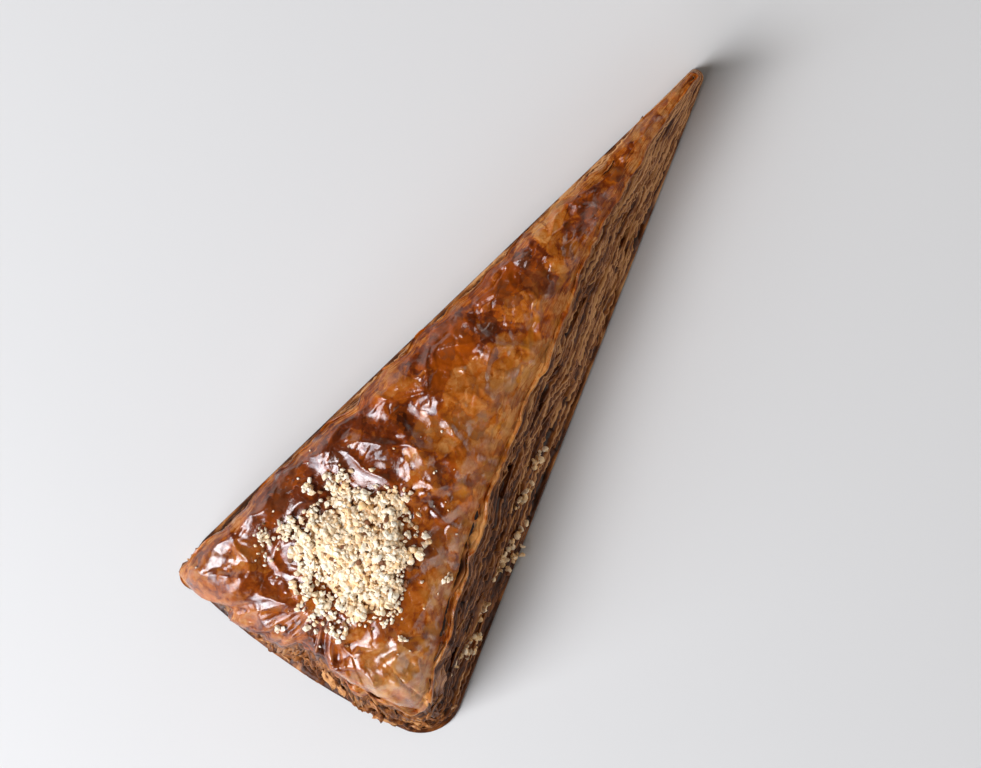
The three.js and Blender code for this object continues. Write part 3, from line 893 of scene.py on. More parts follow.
def layer_material():
    material, tree, shader = new_material("layered_sheets")
    fibre = place_noise(tree, 0.9, 5, 0.6, (0.09, 0.6, 1.2))
    fleck = place_noise(tree, 1.3, 4, 0.65, (0.5, 1, 1.5))
    shade = math(tree, "ADD", remap(tree, fibre, 0.3, 0.7, -0.3, 0.3), remap(tree, fleck, 0.3, 0.7, -0.14, 0.14))
    lit = math(tree, "ADD", field(tree, "tone"), shade)
    stops = [(0.0, SYRUP_DARK_AND_GROOVE_SHADE), (0.35, LAYER_DARK), (0.66, LAYER_BROWN), (1.0, LAYER_LIGHT)]
    link(tree, ramp(tree, lit, stops), shader.inputs["Base Color"])
    link(tree, remap(tree, fleck, 0.35, 0.65, 0.3, 0.6), shader.inputs["Roughness"])
    shader.inputs["Specular IOR Level"].default_value = 0.1
    shader.inputs["Coat Weight"].default_value = 0.22
    shader.inputs["Coat Roughness"].default_value = 0.16
    link(tree, bump(tree, shader, fleck, 0.22, 0.6), shader.inputs["Normal"])
    return material


def nut_material():
    material, tree, shader = new_material("chopped_nuts")
    grit = place_noise(tree, 0.5, 3, 0.6)
    pale = math(tree, "ADD", field(tree, "tone"), remap(tree, grit, 0.3, 0.7, -0.15, 0.15))
    link(tree, ramp(tree, pale, [(0.0, NUT_SKIN), (0.4, NUT_CREAM), (1.0, NUT_PALE)]), shader.inputs["Base Color"])
    shader.inputs["Roughness"].default_value = 0.7
    link(tree, bump(tree, shader, grit, 0.12, 0.8), shader.inputs["Normal"])
    return material


# ---------------------------------------------------------------- the pastry


PALE_X = -3.0
PALE_Y = -2.5
PALE_LENGTH = 17.0
PALE_WIDTH = 10.5


def pale_patch(x, y):
    """The broad pale sheet in the middle of the top: an oval with a torn border, 0 to 1."""
    out = np.hypot((x - PALE_X) / PALE_LENGTH, (y - PALE_Y) / PALE_WIDTH)
    border = 0.4 * noise(x, y, 22.0, 6.5, 78) + 0.2 * noise(x, y, 25.0, 2.2, 79)
    return smooth(1 - out + border, 0, 0.1)


def cover_tone(x, y):
    """How pale the top sheet is, 0 to 1, and how amber."""
    large = noise(x, y, 0.0, 19.0, 71)
    middle = noise(x + 2 * large, y, 3.0, 7.5, 72)
    small = noise(x, y, 6.0, 2.6, 73)
    small_torn = second_tear(x, y)
    across = -0.12 * np.cos(0.146 * (x - 18) + 0.06 * y)
    aside = -0.022 * y * np.exp(-(((x + 5) / 45) ** 2)) + 0.1 * smooth(x, 42, 60) - 0.06 * smooth(x, 15, 35)
    aside += 0.1 * smooth(x, -46, -60) + 0.07 * np.exp(-(((x - 5) / 28) ** 2))
    corner = smooth(x, -48, -60) * smooth(y, -4, -16)
    outer = smooth(x, -54, -68)
    aside += 0.23 * corner + 0.06 * outer - 0.05 * smooth(y, 4, 9) * np.exp(-((x / 22) ** 2))
    tone = 0.39 + 0.55 * across + aside + 0.11 * large + 0.11 * middle + 0.12 * small
    # The torn borders' dark lines are painted shadow.
    tone += 0.12 * torn_sheets(x, y) + 0.16 * small_torn - 0.2 * tear_shadow(x, y)
    to_leaning, _, to_end = edge_distances(x, y)
    rimward = np.exp(-((np.minimum(to_leaning, to_end) / 8) ** 2))
    tone += rimward * (0.2 * noise(x, y, 16.0, 2.0, 76) + 0.12 * noise(x, y, 19.0, 0.9, 77))
    scrap, rim = plates(x, y, PLATE_SIZE, 61)
    tone += plate_share(x) * (0.34 * (scrap - 0.5) - 0.14 * (1 - smooth(rim, 0.15, 0.5)))
    pale = pale_patch(x, y)
    tone += 0.75 * pale * (0.76 + 0.1 * small + 0.08 * middle - tone)
    glow = smooth(noise(x, y, 12.0, 13.0, 74) + 0.25 * noise(x, y, 1.0, 4.0, 75), -0.1, 0.3) * (1 - 0.6 * pale)
    glow = glow * (1 - 0.8 * np.maximum(corner, outer))
    centre = np.exp(-(((x + 4) / 34) ** 2))
    return np.clip(tone, 0.2, 1), np.clip(glow * (0.2 + 0.4 * centre), 0, 0.6) * (1 - 0.8 * small_torn)


def cover_wet(x, y):
    """How much glaze lies on the top sheet: all over, but only in spots where it thins toward the cut sides."""
    to_leaning, to_upright, to_end = edge_distances(x, y)
    patchy = 1.6 * noise(x, y, 8.0, 5.0, 88)
    band = 5 + 3 * smooth(x, -62, -45)
    dry = (1 - smooth((to_leaning + 2 * patchy) / band, 0, 1)) * (0.25 + 0.75 * smooth(x, -60, -46))
    dry_side = 1 - smooth(to_upright + 0.5 * patchy, -0.5, 2.5)
    dry_end = 0.5 * (1 - smooth(to_end + patchy, -1, 3))
    drops = smooth(noise(x, y, 14.0, 1.8, 94), 0.28, 0.4)
    pools = smooth(noise(x, y, 17.0, 6.0, 95) + 0.5 * noise(x, y, 18.0, 2.2, 96), 0.0, 0.3)
    thin = smooth(x, -30, -8) * (0.7 - 0.5 * pools)
    thin *= 1 - smooth(beads(x, y), 0, 0.2)
    return (1 - thin) * (1 - 0.9 * np.maximum(np.maximum(dry, dry_side), dry_end) * (1 - drops))


def hem_drop(depth, seed):
    """How far a torn edge hangs down, for every column: slow tongues, short teeth and fine fray."""
    run = outline.run
    tongue = 0.5 + 0.5 * np.clip(1.9 * noise(run, 0.0, 0.0, 11.0, seed), -1, 1)
    teeth = 0.5 + 0.5 * np.clip(1.8 * noise(run, 0.0, 3.0, 3.6, seed + 1), -1, 1)
    fray = 0.5 + 0.5 * np.clip(2 * noise(run, 0.0, 4.0, 1.1, seed + 2), -1, 1)
    return depth * (0.15 + 0.5 * tongue + 0.27 * teeth + 0.08 * fray)


RIM_SHEETS = 3
RIM_STEP = 0.26


def rim_steps(distance):
    """Sheets torn back from the rim: how far down they step, and how much of a place is their bare edge."""
    run = outline.run
    sides = outline.leaning + 0.7 * outline.upright + 0.9 * outline.end + 0.3 * outline.tip
    down = np.zeros(distance.shape)
    bare = np.zeros(distance.shape)
    for sheet in range(RIM_SHEETS):
        slow = noise(run, 0.0, 7.0 * sheet, 9.0, 181)
        quick = noise(run, 0.0, 7.0 * sheet, 2.4, 182)
        back = sides * (0.35 + 0.95 * sheet) + (1.7 + 0.7 * sheet) * slow * sides + 0.8 * quick * sides
        outside = 1 - smooth(distance, back - 0.12, back + 0.12)
        down += RIM_STEP * outside
        bare = np.maximum(bare, outside * (0.55 + 0.45 * scatter(sheet, 183)))
    return down * outline.room, bare


def end_pleats():
    """Folds that run over the outer rim and down the end, about -1 to 1 for every column."""
    run = outline.run
    folds = 0.9 * noise(run, 0.0, 2.0, 4.2, 191) + 0.5 * noise(run, 0.0, 5.0, 1.9, 192)
    near_leaning = 0.6 + 0.4 * smooth(outline.place[:, 1], 12, -8)
    outer_leaning = 0.8 * outline.leaning * smooth(outline.place[:, 0], -30, -60)
    return (outline.end * near_leaning + outer_leaning) * folds


def build_cover(material):
    """The top sheet: a hem that hangs over the walls, then rings that close on the middle line."""
    depth = 1.7 * outline.leaning + 1.5 * outline.upright + 8.0 * outline.end + 1.2 * outline.tip
    lip = 0.3 + hem_drop(depth, 81) * np.minimum(1, outline.radius / 25)
    curl = 0.45 * outline.end * np.clip(noise(outline.run, 0.0, 7.0, 6.0, 84), -0.4, 1)
    rings = []
    lip = lip + 0.55
    pleats = end_pleats()
    flare = 0.25 + 0.75 * smooth(noise(outline.run, 0.0, 6.0, 4.5, 89), -0.35, 0.35)
    for drop, out in ((1.0, -1.4), (1.0, -0.2), (1.0, 0.12), (0.85, 0.28), (0.65, 0.3), (0.45, 0.2)):
        share = 1 - lip * drop / outline.edge_height
        plain = outline.inset(share)
        followed = plain + 0.45 * outline.end * (wall_form(share) - plain) * drop
        folded = 0.9 * pleats * (0.35 + 0.65 * drop)
        inset = np.maximum(followed - out * (flare if out > 0 else 1) - curl * drop - folded, LEAST_INSET)
        rings.append(np.column_stack([outline.moved(inset), outline.edge_height - lip * drop]))
    bared = [np.full(outline.count, 0.8)] * len(rings)
    folds = [pleats] * len(rings)
    for ring in range(TOP_RINGS):
        inward = (ring / TOP_RINGS) ** 1.12
        point = outline.edge + (spine[outline.step] - outline.edge) * inward
        distance = np.linalg.norm(point - outline.edge, axis=1)
        down, bare = rim_steps(distance)
        fold = pleats * np.exp(-((distance / 9) ** 2))
        rings.append(np.column_stack([point, cover_height(point[:, 0], point[:, 1]) - down + 1.1 * fold]))
        bared.append(bare)
        folds.append(fold)
    rings = np.array(rings)
    bared = np.array(bared)
    folds = np.array(folds)
    spine_top = np.column_stack([spine, cover_height(spine[:, 0], spine[:, 1])])
    spine_low = spine_top - [0, 0, 4.5]
    tone, amber = cover_tone(rings[..., 0], rings[..., 1])
    layer = 6.0 * np.arange(len(rings))[:, None]
    streaks = 0.7 * noise(outline.run, layer, 0.0, 4.5, 87) + 0.5 * noise(outline.run, layer, 0.0, 1.8, 85)
    # Bare torn edges are paler; at the outer end they are made darker, which is painted shade.
    frayed = 0.12 + 0.7 * streaks + 0.08 * outline.leaning + 0.2 * outline.upright - 0.34 * outline.end
    # Painted light and shade: the top is paler on its raised folds and darker in its sunk ones.
    tone = np.clip(tone + bared * frayed + 0.32 * folds, 0, 1)
    amber *= 1 - 0.7 * bared
    from_leaning = edge_distances(rings[..., 0], rings[..., 1])[0]
    spots = smooth(noise(rings[..., 0], rings[..., 1], 4.0, 2.4, 90), 0.22, 0.42)
    gold = 0.55 * spots * np.exp(-(((from_leaning - 2.5) / 3.5) ** 2)) * smooth(rings[..., 0], 45, 20)
    spine_tone, spine_amber = cover_tone(spine[:, 0], spine[:, 1])
    low = np.zeros(len(spine))
    wet = cover_wet(rings[..., 0], rings[..., 1]) * (1 - 0.6 * bared)
    shares = {
        "wet": np.concatenate([wet.ravel(), low + 1, low + 1]),
        "film": np.concatenate([0.32 - 0.08 * smooth(rings[..., 0], -40, 0).ravel(), low + 0.2, low + 0.2]),
        "tone": np.concatenate([tone.ravel(), low, spine_tone]),
        "amber": np.concatenate([amber.ravel(), low, spine_amber]),
        "gold": np.concatenate([gold.ravel(), low, low]),
    }
    places = np.vstack([rings.reshape(-1, 3), spine_low, spine_top])
    low_start = rings.shape[0] * rings.shape[1]
    faces = [ring_faces(*rings.shape[:2])]
    faces += spine_faces(0, low_start, upward=False)
    faces += spine_faces(low_start - outline.count, low_start + len(spine), upward=True)
    return make_piece("glazed_top", places, faces, material, shares)


TORN_BANDS = 4
BAND_ROWS = 9


def build_torn_bands(material):
    """Torn sheets that hang over the outer end under the top sheet, each a closed strip with a ragged low edge."""
    first = 2 * SIDE_COLUMNS + TIP_COLUMNS - 26
    picked = np.arange(first, outline.count + 34) % outline.count
    width = len(picked)
    share_down = np.linspace(0, 1, BAND_ROWS)
    fronts = []
    for band in range(TORN_BANDS):
        fade = np.sin(np.pi * np.linspace(0.03, 0.97, width)) ** 0.35
        low = (2.5 + hem_drop(6.0 + 4.6 * band, 101 + 7 * band)[picked]) * fade
        curl = 1.3 * np.clip(noise(outline.run, 0.0, 5.0 * band, 5.0, 131 + band), -0.35, 1)[picked]
        sink = 0.35 + 0.55 * band
        rows = []
        for down in share_down:
            drop = 0.6 + low * down
            share = 1 - np.zeros(outline.count)
            share[picked] = 1 - drop / outline.edge_height[picked]
            plain = outline.inset(share)
            form = plain + 0.55 * (wall_form(share) - plain)
            pucker = 0.55 * noise(outline.run, drop.mean() * 3.0, 17.0 * band, 3.1, 141 + band)
            inset = (form + pucker)[picked] + sink * (1 - down) - curl * down**2 * outline.end[picked] - 0.15
            moved = outline.place[picked] + outline.inward[picked] * np.maximum(inset, LEAST_INSET)[:, None]
            rows.append(np.column_stack([moved, outline.edge_height[picked] - drop]))
        fronts.append(np.array(rows))
    inward = np.column_stack([outline.inward[picked], np.zeros(width)])
    places = []
    faces = []
    tones = []
    start = 0
    for band, front in enumerate(fronts):
        back = front + 0.3 * inward
        faces += [part + start for part in slab_faces(BAND_ROWS, width)]
        places += [front.reshape(-1, 3), back.reshape(-1, 3)]
        shade = 0.34 + 0.25 * noise(front[..., 0], front[..., 1], front[..., 2], 5.0, 151) + 0.35 * share_down[:, None] ** 3
        tones += [shade.ravel(), shade.ravel()]
        start += 2 * BAND_ROWS * width
    tone = np.clip(np.concatenate(tones), 0, 1)
    return make_piece("torn_sheets", np.vstack(places), faces, material, {"tone": tone})


def slab_faces(rows, columns):
    """A closed slab from a front grid and a back grid whose places follow each other."""
    index = np.arange(rows * columns).reshape(rows, columns)
    a, b = index[:-1, :-1], index[:-1, 1:]
    c, d = index[1:, 1:], index[1:, :-1]
    front = np.stack([a, d, c, b], -1).reshape(-1, 4)
    back = front[:, ::-1] + rows * columns
    border = np.concatenate([index[:-1, 0], index[-1, :-1], index[1:, -1][::-1], index[0, 1:][::-1]])
    following = np.roll(border, -1)
    rim = np.stack([border, border + rows * columns, following + rows * columns, following], -1)
    return [front, back, rim]


def build_walls(material):
    """All sheets of the walls in two stacks, each closed on its own. Returns the rings for what lies on them."""
    rings = [foot_ring()]
    tones = [np.full(outline.count, 0.3)]
    x = outline.place[:, 0]
    # Darker at the outer end: painted shade.
    paler = 0.84 + 0.4 * smooth(x, -35, -5) + 0.22 * smooth(x, 0, 40) + 0.06 * outline.upright - 0.1 * outline.end
    for sheet in range(SHEETS):
        for share_in_sheet, groove_share in SHEET_PROFILE:
            places, painted_edge_light, tint = wall_ring(sheet, share_in_sheet, groove_share)
            rings.append(places)
            tones.append(np.clip(painted_edge_light * (0.42 + 0.66 * tint) * paler, 0, 1))
    places, painted_edge_light, tint = wall_ring(SHEETS, 0.0, 1.0)
    rings.append(places)
    tones.append(painted_edge_light * 0)
    middle = len(rings) // 2
    flat = np.column_stack([spine, np.zeros(len(spine))])
    halfway = np.column_stack([spine, np.full(len(spine), CROWN_HEIGHT * 0.42)])
    under_top = np.column_stack([spine, top_height(spine[:, 0], spine[:, 1]) - 3.5])
    closed_stack("lower_sheets", rings[: middle + 1], flat, halfway, material, {"tone": tones[: middle + 1]})
    closed_stack("upper_sheets", rings[middle:], halfway, under_top, material, {"tone": tones[middle:]})
    return np.array(rings)


SHREDS = 96
END_FLAKES = 60


def build_flakes(material, rings):
    """Thin scraps on the walls: long shreds along the sides and short curled flakes over the outer end."""
    side = np.arange(SHREDS)
    flake = SHREDS + np.arange(END_FLAKES)
    index = np.concatenate([side, flake])
    on_side = index < SHREDS
    side_column = 6 + (SIDE_COLUMNS - 40) * scatter(index, 41) + (SIDE_COLUMNS + TIP_COLUMNS) * (index % 3 == 0)
    upright_shift = np.where(index % 3 == 0, 22, 0)
    end_first = 2 * SIDE_COLUMNS + TIP_COLUMNS
    end_column = end_first + (outline.count - end_first) * scatter(index, 42)
    column = np.where(on_side, side_column + upright_shift, end_column).astype(int) % outline.count
    ring = (len(rings) * np.where(on_side, 0.08 + 0.78 * scatter(index, 43), 0.1 + 0.7 * scatter(index, 43))).astype(int)
    centre = rings[ring, column]
    ahead = rings[ring, (column + 5) % outline.count] - rings[ring, (column - 5) % outline.count]
    ahead[:, 2] *= 0.6
    ahead /= np.linalg.norm(ahead, axis=1, keepdims=True)
    outward = np.column_stack([outline.normal[column], 0.25 + 0.3 * outline.end[column]])
    outward /= np.linalg.norm(outward, axis=1, keepdims=True)
    aside = np.cross(outward, ahead)
    aside /= np.linalg.norm(aside, axis=1, keepdims=True)
    turn = np.where(on_side, 0.05, 0.7) * (2 * scatter(index, 44) - 1)
    along = ahead * np.cos(turn)[:, None] + aside * np.sin(turn)[:, None]
    aside = np.cross(outward, along)
    room = outline.room[column]
    length = np.where(on_side, 4 + 9 * scatter(index, 45), 2.5 + 4.5 * scatter(index, 45)) * room
    width = np.where(on_side, 0.35 + 0.4 * scatter(index, 46), 1.0 + 2.0 * scatter(index, 46))
    curl = np.where(on_side, 0.04 + 0.22 * scatter(index, 47), 0.3 + 0.8 * scatter(index, 47)) * room
    rows, columns = 11, 4
    u = np.linspace(-1, 1, rows)[None, :, None]
    v = np.linspace(-1, 1, columns)[None, None]
    shape = np.broadcast_to(u * v, (len(index), rows, columns)).shape
    taper = 0.2 + 0.8 * np.sqrt(1 - u**2) + 0.25 * noise(4 * u * np.ones(shape), index[:, None, None] * 9.0, 0.0, 1.0, 161)
    bend = 0.12 * length[:, None, None] * (scatter(index, 48) - 0.5)[:, None, None] * (u**2)
    lift = curl[:, None, None] * (0.5 + 0.5 * u) ** 2 + 0.12 * width[:, None, None] * np.sin(4 * v + 3 * u + index[:, None, None])
    parts = []
    for thickness in (0.1, -0.2):
        place = (
            centre[:, None, None]
            + along[:, None, None] * (0.5 * length[:, None, None] * u * np.ones(shape))[..., None]
            + aside[:, None, None] * (0.5 * width[:, None, None] * v * taper + bend)[..., None]
            + outward[:, None, None] * (lift + thickness)[..., None]
        )
        parts.append(place.reshape(len(index), -1, 3))
    places = np.concatenate(parts, axis=1)
    size = places.shape[1]
    faces = []
    for part in slab_faces(rows, columns):
        moved = part[None] + (np.arange(len(index)) * size)[:, None, None]
        faces.append(moved.reshape(-1, 4))
    tone = np.repeat(np.clip(0.45 + 0.5 * scatter(index, 49), 0, 1), size)
    return make_piece("wall_flakes", places.reshape(-1, 3), faces, material, {"tone": tone})


# ---------------------------------------------------------------- nuts


def unit_lump(levels):
    """An icosphere's corners and triangles, as arrays."""
    mesh = bpy.data.meshes.new("lump")
    import bmesh

    shape = bmesh.new()
    bmesh.ops.create_icosphere(shape, subdivisions=levels, radius=1.0)
    shape.to_mesh(mesh)
    shape.free()
    corners = np.zeros(len(mesh.vertices) * 3)
    mesh.vertices.foreach_get("co", corners)
    triangles = np.array([tuple(face.vertices) for face in mesh.polygons])
    bpy.data.meshes.remove(mesh)
    return corners.reshape(-1, 3), triangles


def random_turns(count):
    """Rotation matrices from seeded random quaternions."""
    q = draw.normal(size=(count, 4))
    q /= np.linalg.norm(q, axis=1, keepdims=True)
    w, x, y, z = q.T
    rows = [
        [1 - 2 * (y * y + z * z), 2 * (x * y - z * w), 2 * (x * z + y * w)],
        [2 * (x * y + z * w), 1 - 2 * (x * x + z * z), 2 * (y * z - x * w)],
        [2 * (x * z - y * w), 2 * (y * z + x * w), 1 - 2 * (x * x + y * y)],
    ]
    return np.moveaxis(np.array(rows), 2, 0)


CHIP_CUTS = 8


def lumps(name, centres, sizes, tones, levels, material):
    """Many small chips as one mesh: balls cut by planes at random distances, then squeezed and turned."""
    corners, triangles = unit_lump(levels)
    count = len(centres)
    facing = draw.normal(size=(count, CHIP_CUTS, 3))
    facing /= np.linalg.norm(facing, axis=2, keepdims=True)
    away = draw.uniform(0.45, 0.85, (count, 1, CHIP_CUTS))
    toward = np.einsum("cj,nkj->nck", corners, facing)
    reach = np.where(toward > 0.05, away / np.maximum(toward, 0.05), 9).min(2)[..., None]
    reach = np.minimum(reach, 1.15)
    stretch = np.stack([np.ones(count), draw.uniform(0.7, 1.0, count), draw.uniform(0.6, 0.9, count)], 1)
    shaped = corners[None] * reach * stretch[:, None] * np.asarray(sizes)[:, None, None]
    turned = np.einsum("nij,nkj->nki", random_turns(count), shaped) + np.asarray(centres)[:, None]
    faces = triangles[None] + (np.arange(count) * len(corners))[:, None, None]
    shares = {"tone": np.repeat(tones, len(corners))}
    return make_piece(name, turned.reshape(-1, 3), [faces.reshape(-1, 3)], material, shares, smooth_faces=False)


def grain_places():
    """The places and sizes of the solid's grains on the top: the heap's, then the strays."""
    heap = np.arange(HEAP_GRAINS)
    turn = heap * GOLDEN_ANGLE + 0.5 * scatter(heap, 2)
    out = np.sqrt((heap + 0.5) / HEAP_GRAINS) * (0.94 + 0.1 * scatter(heap, 1)) * heap_reach(turn)
    size = GRAIN_SIZE * (0.82 + 0.36 * scatter(heap, 3))
    stray = np.arange(STRAY_GRAINS)
    index = HEAP_GRAINS + stray
    stray_turn = stray * GOLDEN_ANGLE + 1.9
    stray_out = (1.12 + 0.36 * scatter(index, 1)) * heap_reach(stray_turn)
    stray_size = GRAIN_SIZE * (0.6 + 0.3 * scatter(index, 3))
    out = np.concatenate([out, stray_out])
    turn = np.concatenate([turn, stray_turn])
    x = HEAP_X + HEAP_LENGTH * out * np.cos(turn)
    y = HEAP_Y + HEAP_WIDTH * out * np.sin(turn)
    return x, y, np.concatenate([size, stray_size])


HIGHEST = start_box[1][2] / MM
CRUMBS_PER_GRAIN = 22
CRUMBS_PER_STRAY = 6
CRUMB_SMALL = 0.45
CRUMB_LARGE = 1.05
MOUND_CRUMBS = 700
CHUNK_PLACES = ((-49.5, 21), (-45.5, 17.5), (-52, 18.5), (-58.5, 3), (-57, -2))
FLECK_PLACES = ((-31, -6), (-36, -14.5), (-51, -14), (-64, 8))
CHUNK_CRUMBS = 36
FLECK_CRUMBS = 9
SPREAD_CLUMPS = 40
CLUMP_CRUMBS = 9
DUST = 90
WALL_CRUMBS = 16
TOP_WALL_ROWS = 2 * BUNDLES


def crumb_tones(count):
    tones = np.clip(0.86 + 0.16 * draw.normal(size=count), 0.3, 1)
    return np.where(draw.random(count) < 0.06, 0.06, tones)


def inside_top(x, y, margin):
    return np.minimum.reduce(edge_distances(x, y)) > margin


def build_nuts(material, rings):
    """Crumbs gathered where the solid has its grains, over the mound, in loose clusters and as dust."""
    x, y, size = grain_places()
    per_grain = np.where(np.arange(len(x)) < HEAP_GRAINS, CRUMBS_PER_GRAIN, CRUMBS_PER_STRAY)
    owner = np.repeat(np.arange(len(x)), per_grain)
    count = len(owner)
    aside = draw.normal(size=(count, 2)) * (size[owner] * 0.6)[:, None]
    crumb_x = x[owner] + aside[:, 0]
    crumb_y = y[owner] + aside[:, 1]
    crumb_size = CRUMB_SMALL + (CRUMB_LARGE - CRUMB_SMALL) * draw.random(count) ** 1.5
    spread = np.exp(-(aside**2).sum(1) / size[owner] ** 2)
    mound = mound_height(crumb_x, crumb_y)
    lift = 0.22 * draw.random(count) * size[owner] * spread * smooth(mound, 0.0, 1.2) + 0.25 * crumb_size
    crumb_z = np.minimum(cover_height(crumb_x, crumb_y) + mound + lift, HIGHEST - 1.4 * crumb_size)
    rim_share = smooth(mound, 1.9, 0.3)
    open_patch = noise(crumb_x, crumb_y, 3.0, 4.0, 171) + 0.012 * (crumb_y - crumb_x + HEAP_X)
    inside = inside_top(crumb_x, crumb_y, 0.8) & (rim_share * open_patch < 0.04)
    centres = np.stack([crumb_x, crumb_y, crumb_z], 1)
    # Painted shade: crumbs that lie low in the heap are made darker.
    tones = crumb_tones(count) - 0.2 * (1 - smooth(lift, 0.2, 0.6))
    lumps("nut_crumbs", centres[inside], crumb_size[inside], tones[inside], 2, material)

    turn = draw.random(MOUND_CRUMBS) * 2 * np.pi
    out = np.sqrt(draw.random(MOUND_CRUMBS)) * heap_reach(turn) * 1.02
    bed_x = HEAP_X + HEAP_LENGTH * out * np.cos(turn)
    bed_y = HEAP_Y + HEAP_WIDTH * out * np.sin(turn)
    bed_size = 0.4 + 0.3 * draw.random(MOUND_CRUMBS)
    bed_z = cover_height(bed_x, bed_y) + mound_height(bed_x, bed_y) + 0.2 * bed_size

    gathered = [CHUNK_CRUMBS] * len(CHUNK_PLACES) + [FLECK_CRUMBS] * len(FLECK_PLACES)
    k = np.repeat(np.arange(len(gathered)), gathered)
    reach = np.where(k < len(CHUNK_PLACES), 0.8 + 0.9 * scatter(k, 12), 0.5)
    cluster = np.array(CHUNK_PLACES + FLECK_PLACES)[k]
    loose_x = cluster[:, 0] + reach * draw.normal(size=len(k))
    loose_y = cluster[:, 1] + reach * draw.normal(size=len(k))
    loose_size = 0.4 + 0.55 * draw.random(len(k)) ** 1.3
    kept = draw.random(len(k)) < 0.35 + 0.65 * scatter(k, 13)
    loose_z = cover_height(loose_x, loose_y) + 0.5 * loose_size + 0.8 * draw.random(len(k)) * kept

    k = np.repeat(np.arange(SPREAD_CLUMPS), CLUMP_CRUMBS)
    count = len(k)
    turn = np.pi * (0.2 + 0.9 * scatter(k, 61))
    out = (0.84 + 0.5 * scatter(k, 62) ** 1.4) * heap_reach(turn)
    clump_x = HEAP_X + HEAP_LENGTH * out * np.cos(turn) + 0.6 * draw.normal(size=count)
    clump_y = HEAP_Y + HEAP_WIDTH * out * np.sin(turn) + 0.6 * draw.normal(size=count)
    clump_size = 0.5 + 0.5 * draw.random(count)
    clump_z = cover_height(clump_x, clump_y) + mound_height(clump_x, clump_y) + 0.5 * clump_size
    clump_z += 0.4 * draw.random(count)

    dust_x = HEAP_X + 17 * draw.normal(size=DUST)
    dust_y = HEAP_Y + 14 * draw.normal(size=DUST)
    dust_size = 0.18 + 0.2 * draw.random(DUST)
    dust_z = cover_height(dust_x, dust_y) + 0.4 * dust_size

    fine_x = np.concatenate([bed_x, clump_x, loose_x[kept], dust_x])
    fine_y = np.concatenate([bed_y, clump_y, loose_y[kept], dust_y])
    fine_z = np.concatenate([bed_z, clump_z, loose_z[kept], dust_z])
    fine_size = np.concatenate([bed_size, clump_size, loose_size[kept], dust_size])
    inside = inside_top(fine_x, fine_y, 0.8) & (fine_x > HEAP_X - 36)
    centres = np.stack([fine_x, fine_y, fine_z], 1)[inside]
    tones = crumb_tones(len(fine_x))[inside]
    lumps("fine_crumbs", centres, fine_size[inside], tones, 1, material)

    grain = np.arange(WALL_GRAINS)
    index = HEAP_GRAINS + STRAY_GRAINS + grain
    solid_column = 1 + np.floor((grain + scatter(index, 1)) * 1.25)
    column = np.round(solid_column * (SIDE_COLUMNS - 1) / 34).astype(int)
    share = (2 + 2 * np.floor(4 * scatter(index, 2))) / TOP_WALL_ROWS
    owner = np.repeat(grain, WALL_CRUMBS)
    count = len(owner)
    places = rings[(share * (len(rings) - 1)).astype(int), column][owner]
    places = places + draw.normal(size=(count, 3)) * [1.7, 0.35, 1.1]
    lean = np.column_stack([outline.normal[column], np.full(WALL_GRAINS, 0.3)])[owner]
    wall_size = 0.45 + 0.55 * draw.random(count) ** 1.3
    lumps("side_crumbs", places + 0.35 * lean, wall_size, crumb_tones(count) - 0.3, 2, material)


def build_mound(material):
    """The heap's body: a bumpy dome over the top sheet, closed underneath."""
    rings, columns = 60, 120
    share = (np.arange(1, rings + 1) / rings)[:, None]
    turn = (np.arange(columns) * 2 * np.pi / columns)[None]
    ragged = heap_reach(turn) * (1 + 0.05 * np.sin(9 * turn) + 0.04 * np.sin(16 * turn + 1))
    x = HEAP_X + 0.92 * HEAP_LENGTH * share * ragged * np.cos(turn)
    y = HEAP_Y + 0.92 * HEAP_WIDTH * share * ragged * np.sin(turn)
    gaps = smooth(noise(x, y, 5.0, 1.3, 93) + 0.3 * share**3, 0.2, 0.4)
    bumps = 0.45 * noise(x, y, 0.0, 1.6, 91) + 0.25 * noise(x, y, 0.0, 0.8, 92) - 0.6 * gaps
    z = cover_height(x, y) + mound_height(x, y) + bumps * (1 - share**4) - 1.6 * share**6
    top = np.stack([x, y, z], -1)
    centre_z = cover_height(HEAP_X, HEAP_Y) + HEAP_HEIGHT
    centre = np.array([[HEAP_X, HEAP_Y, centre_z], [HEAP_X, HEAP_Y, centre_z - 7.5]])
    places = np.vstack([top.reshape(-1, 3), centre])
    k = np.arange(columns)
    following = (k + 1) % columns
    low = (np.arange(rings - 1) * columns)[:, None]
    quads = np.stack([low + k, low + columns + k, low + columns + following, low + following], -1).reshape(-1, 4)
    crown = np.stack([np.full(columns, rings * columns), k, following], -1)
    last = (rings - 1) * columns
    under = np.stack([np.full(columns, rings * columns + 1), last + following, last + k], -1)
    mottle = 0.72 + 0.3 * noise(x, y, 9.0, 1.1, 97)
    # The sunk gaps are darker: partly the dark pastry seen between crumbs, partly painted shade.
    tone = np.concatenate([np.clip(mottle * (1 - gaps), 0, 1).ravel(), [0.7, 0]])
    make_piece("nut_heap", places, [quads, crown, under], material, {"tone": tone})


# ---------------------------------------------------------------- light, floor and camera

VIEW_ROLL = np.radians(56.5)
CAMERA_HEIGHT = 0.74
CAMERA_LENS = 130.0


def build_stage():
    material, tree, shader = new_material("pale_floor")
    shader.inputs["Base Color"].default_value = (0.71, 0.69, 0.655, 1)
    shader.inputs["Roughness"].default_value = 0.6
    mesh = bpy.data.meshes.new("floor")
    half = 3.0
    corners = [(-half, -half, 0), (half, -half, 0), (half, half, 0), (-half, half, 0)]
    mesh.from_pydata(corners, [], [(0, 1, 2, 3)])
    mesh.materials.append(material)
    floor = bpy.data.objects.new("floor", mesh)
    bpy.context.scene.collection.objects.link(floor)


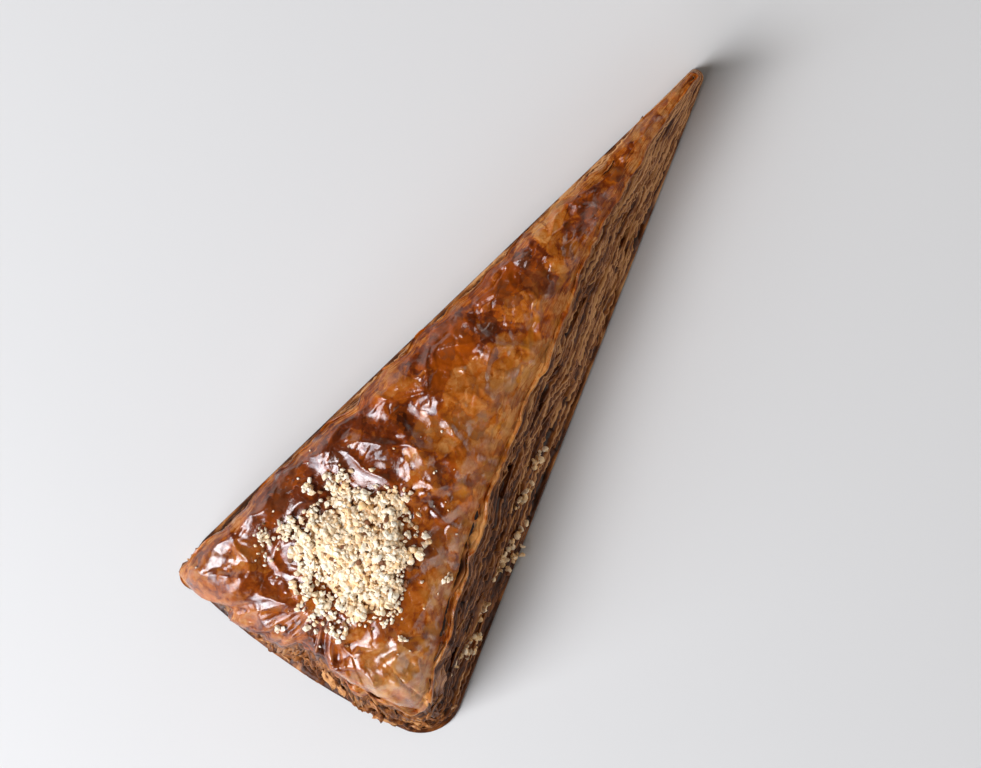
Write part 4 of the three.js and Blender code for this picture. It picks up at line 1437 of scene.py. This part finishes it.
def add_area(name, place, aim, width, height, watts, colour):
    light = bpy.data.lights.new(name, "AREA")
    light.shape = "RECTANGLE"
    light.size = width
    light.size_y = height
    light.energy = watts
    light.color = colour
    lamp = bpy.data.objects.new(name, light)
    lamp.location = place
    lamp.rotation_mode = "QUATERNION"
    lamp.rotation_quaternion = (Vector(aim) - Vector(place)).to_track_quat("-Z", "Y")
    bpy.context.scene.collection.objects.link(lamp)


def build_light():
    world = bpy.data.worlds.new("soft_room")
    world.use_nodes = True
    back = world.node_tree.nodes["Background"]
    back.inputs["Color"].default_value = (0.95, 0.96, 1.0, 1)
    back.inputs["Strength"].default_value = 0.03
    bpy.context.scene.world = world
    aim = (0, 0, 0.03)
    add_area("window", (-0.88, 0.26, 0.62), aim, 0.88, 0.7, 10.4, (0.8, 0.88, 1.0))
    add_area("high_window", (-0.6, 0.34, 0.98), aim, 0.6, 0.5, 11.5, (0.95, 0.95, 1.0))
    add_area("low_fill", (0.3, -1.0, 0.2), aim, 1.5, 0.38, 3.4, (1.0, 0.95, 0.9))
    add_area("upright_fill", (0.1, 1.0, 0.2), aim, 1.5, 0.38, 1.9, (1.0, 0.97, 0.94))
    add_area("tip_fill", (1.0, -0.15, 0.26), aim, 1.3, 0.46, 1.4, (1.0, 0.97, 0.94))


def build_camera():
    """Over the bake's centre, looking at the slice, turned so that the tip points up and to the right."""
    data = bpy.data.cameras.new("camera")
    data.lens = CAMERA_LENS
    data.clip_start = 0.01
    camera = bpy.data.objects.new("camera", data)
    low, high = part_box(NODE)
    target = Vector((0, 0, (low.z + high.z) / 2))
    place = Vector((BAKE_CENTRE_X * MM, 0, CAMERA_HEIGHT))
    back = (place - target).normalized()
    up_wanted = Vector((np.sin(VIEW_ROLL), np.cos(VIEW_ROLL), 0))
    right = up_wanted.cross(back).normalized()
    up = back.cross(right)
    turn = Matrix((right, up, back)).transposed()
    camera.matrix_world = Matrix.Translation(place) @ turn.to_4x4()
    bpy.context.scene.collection.objects.link(camera)
    bpy.context.scene.camera = camera


# ---------------------------------------------------------------- the scene

pastry = cover_material()
sheets = layer_material()
nuts = nut_material()
build_cover(pastry)
build_torn_bands(sheets)
wall_rings = build_walls(sheets)
build_flakes(sheets, wall_rings)
build_mound(nuts)
build_nuts(nuts, wall_rings)
build_stage()
build_light()
build_camera()
bpy.context.scene.view_settings.view_transform = "Standard"
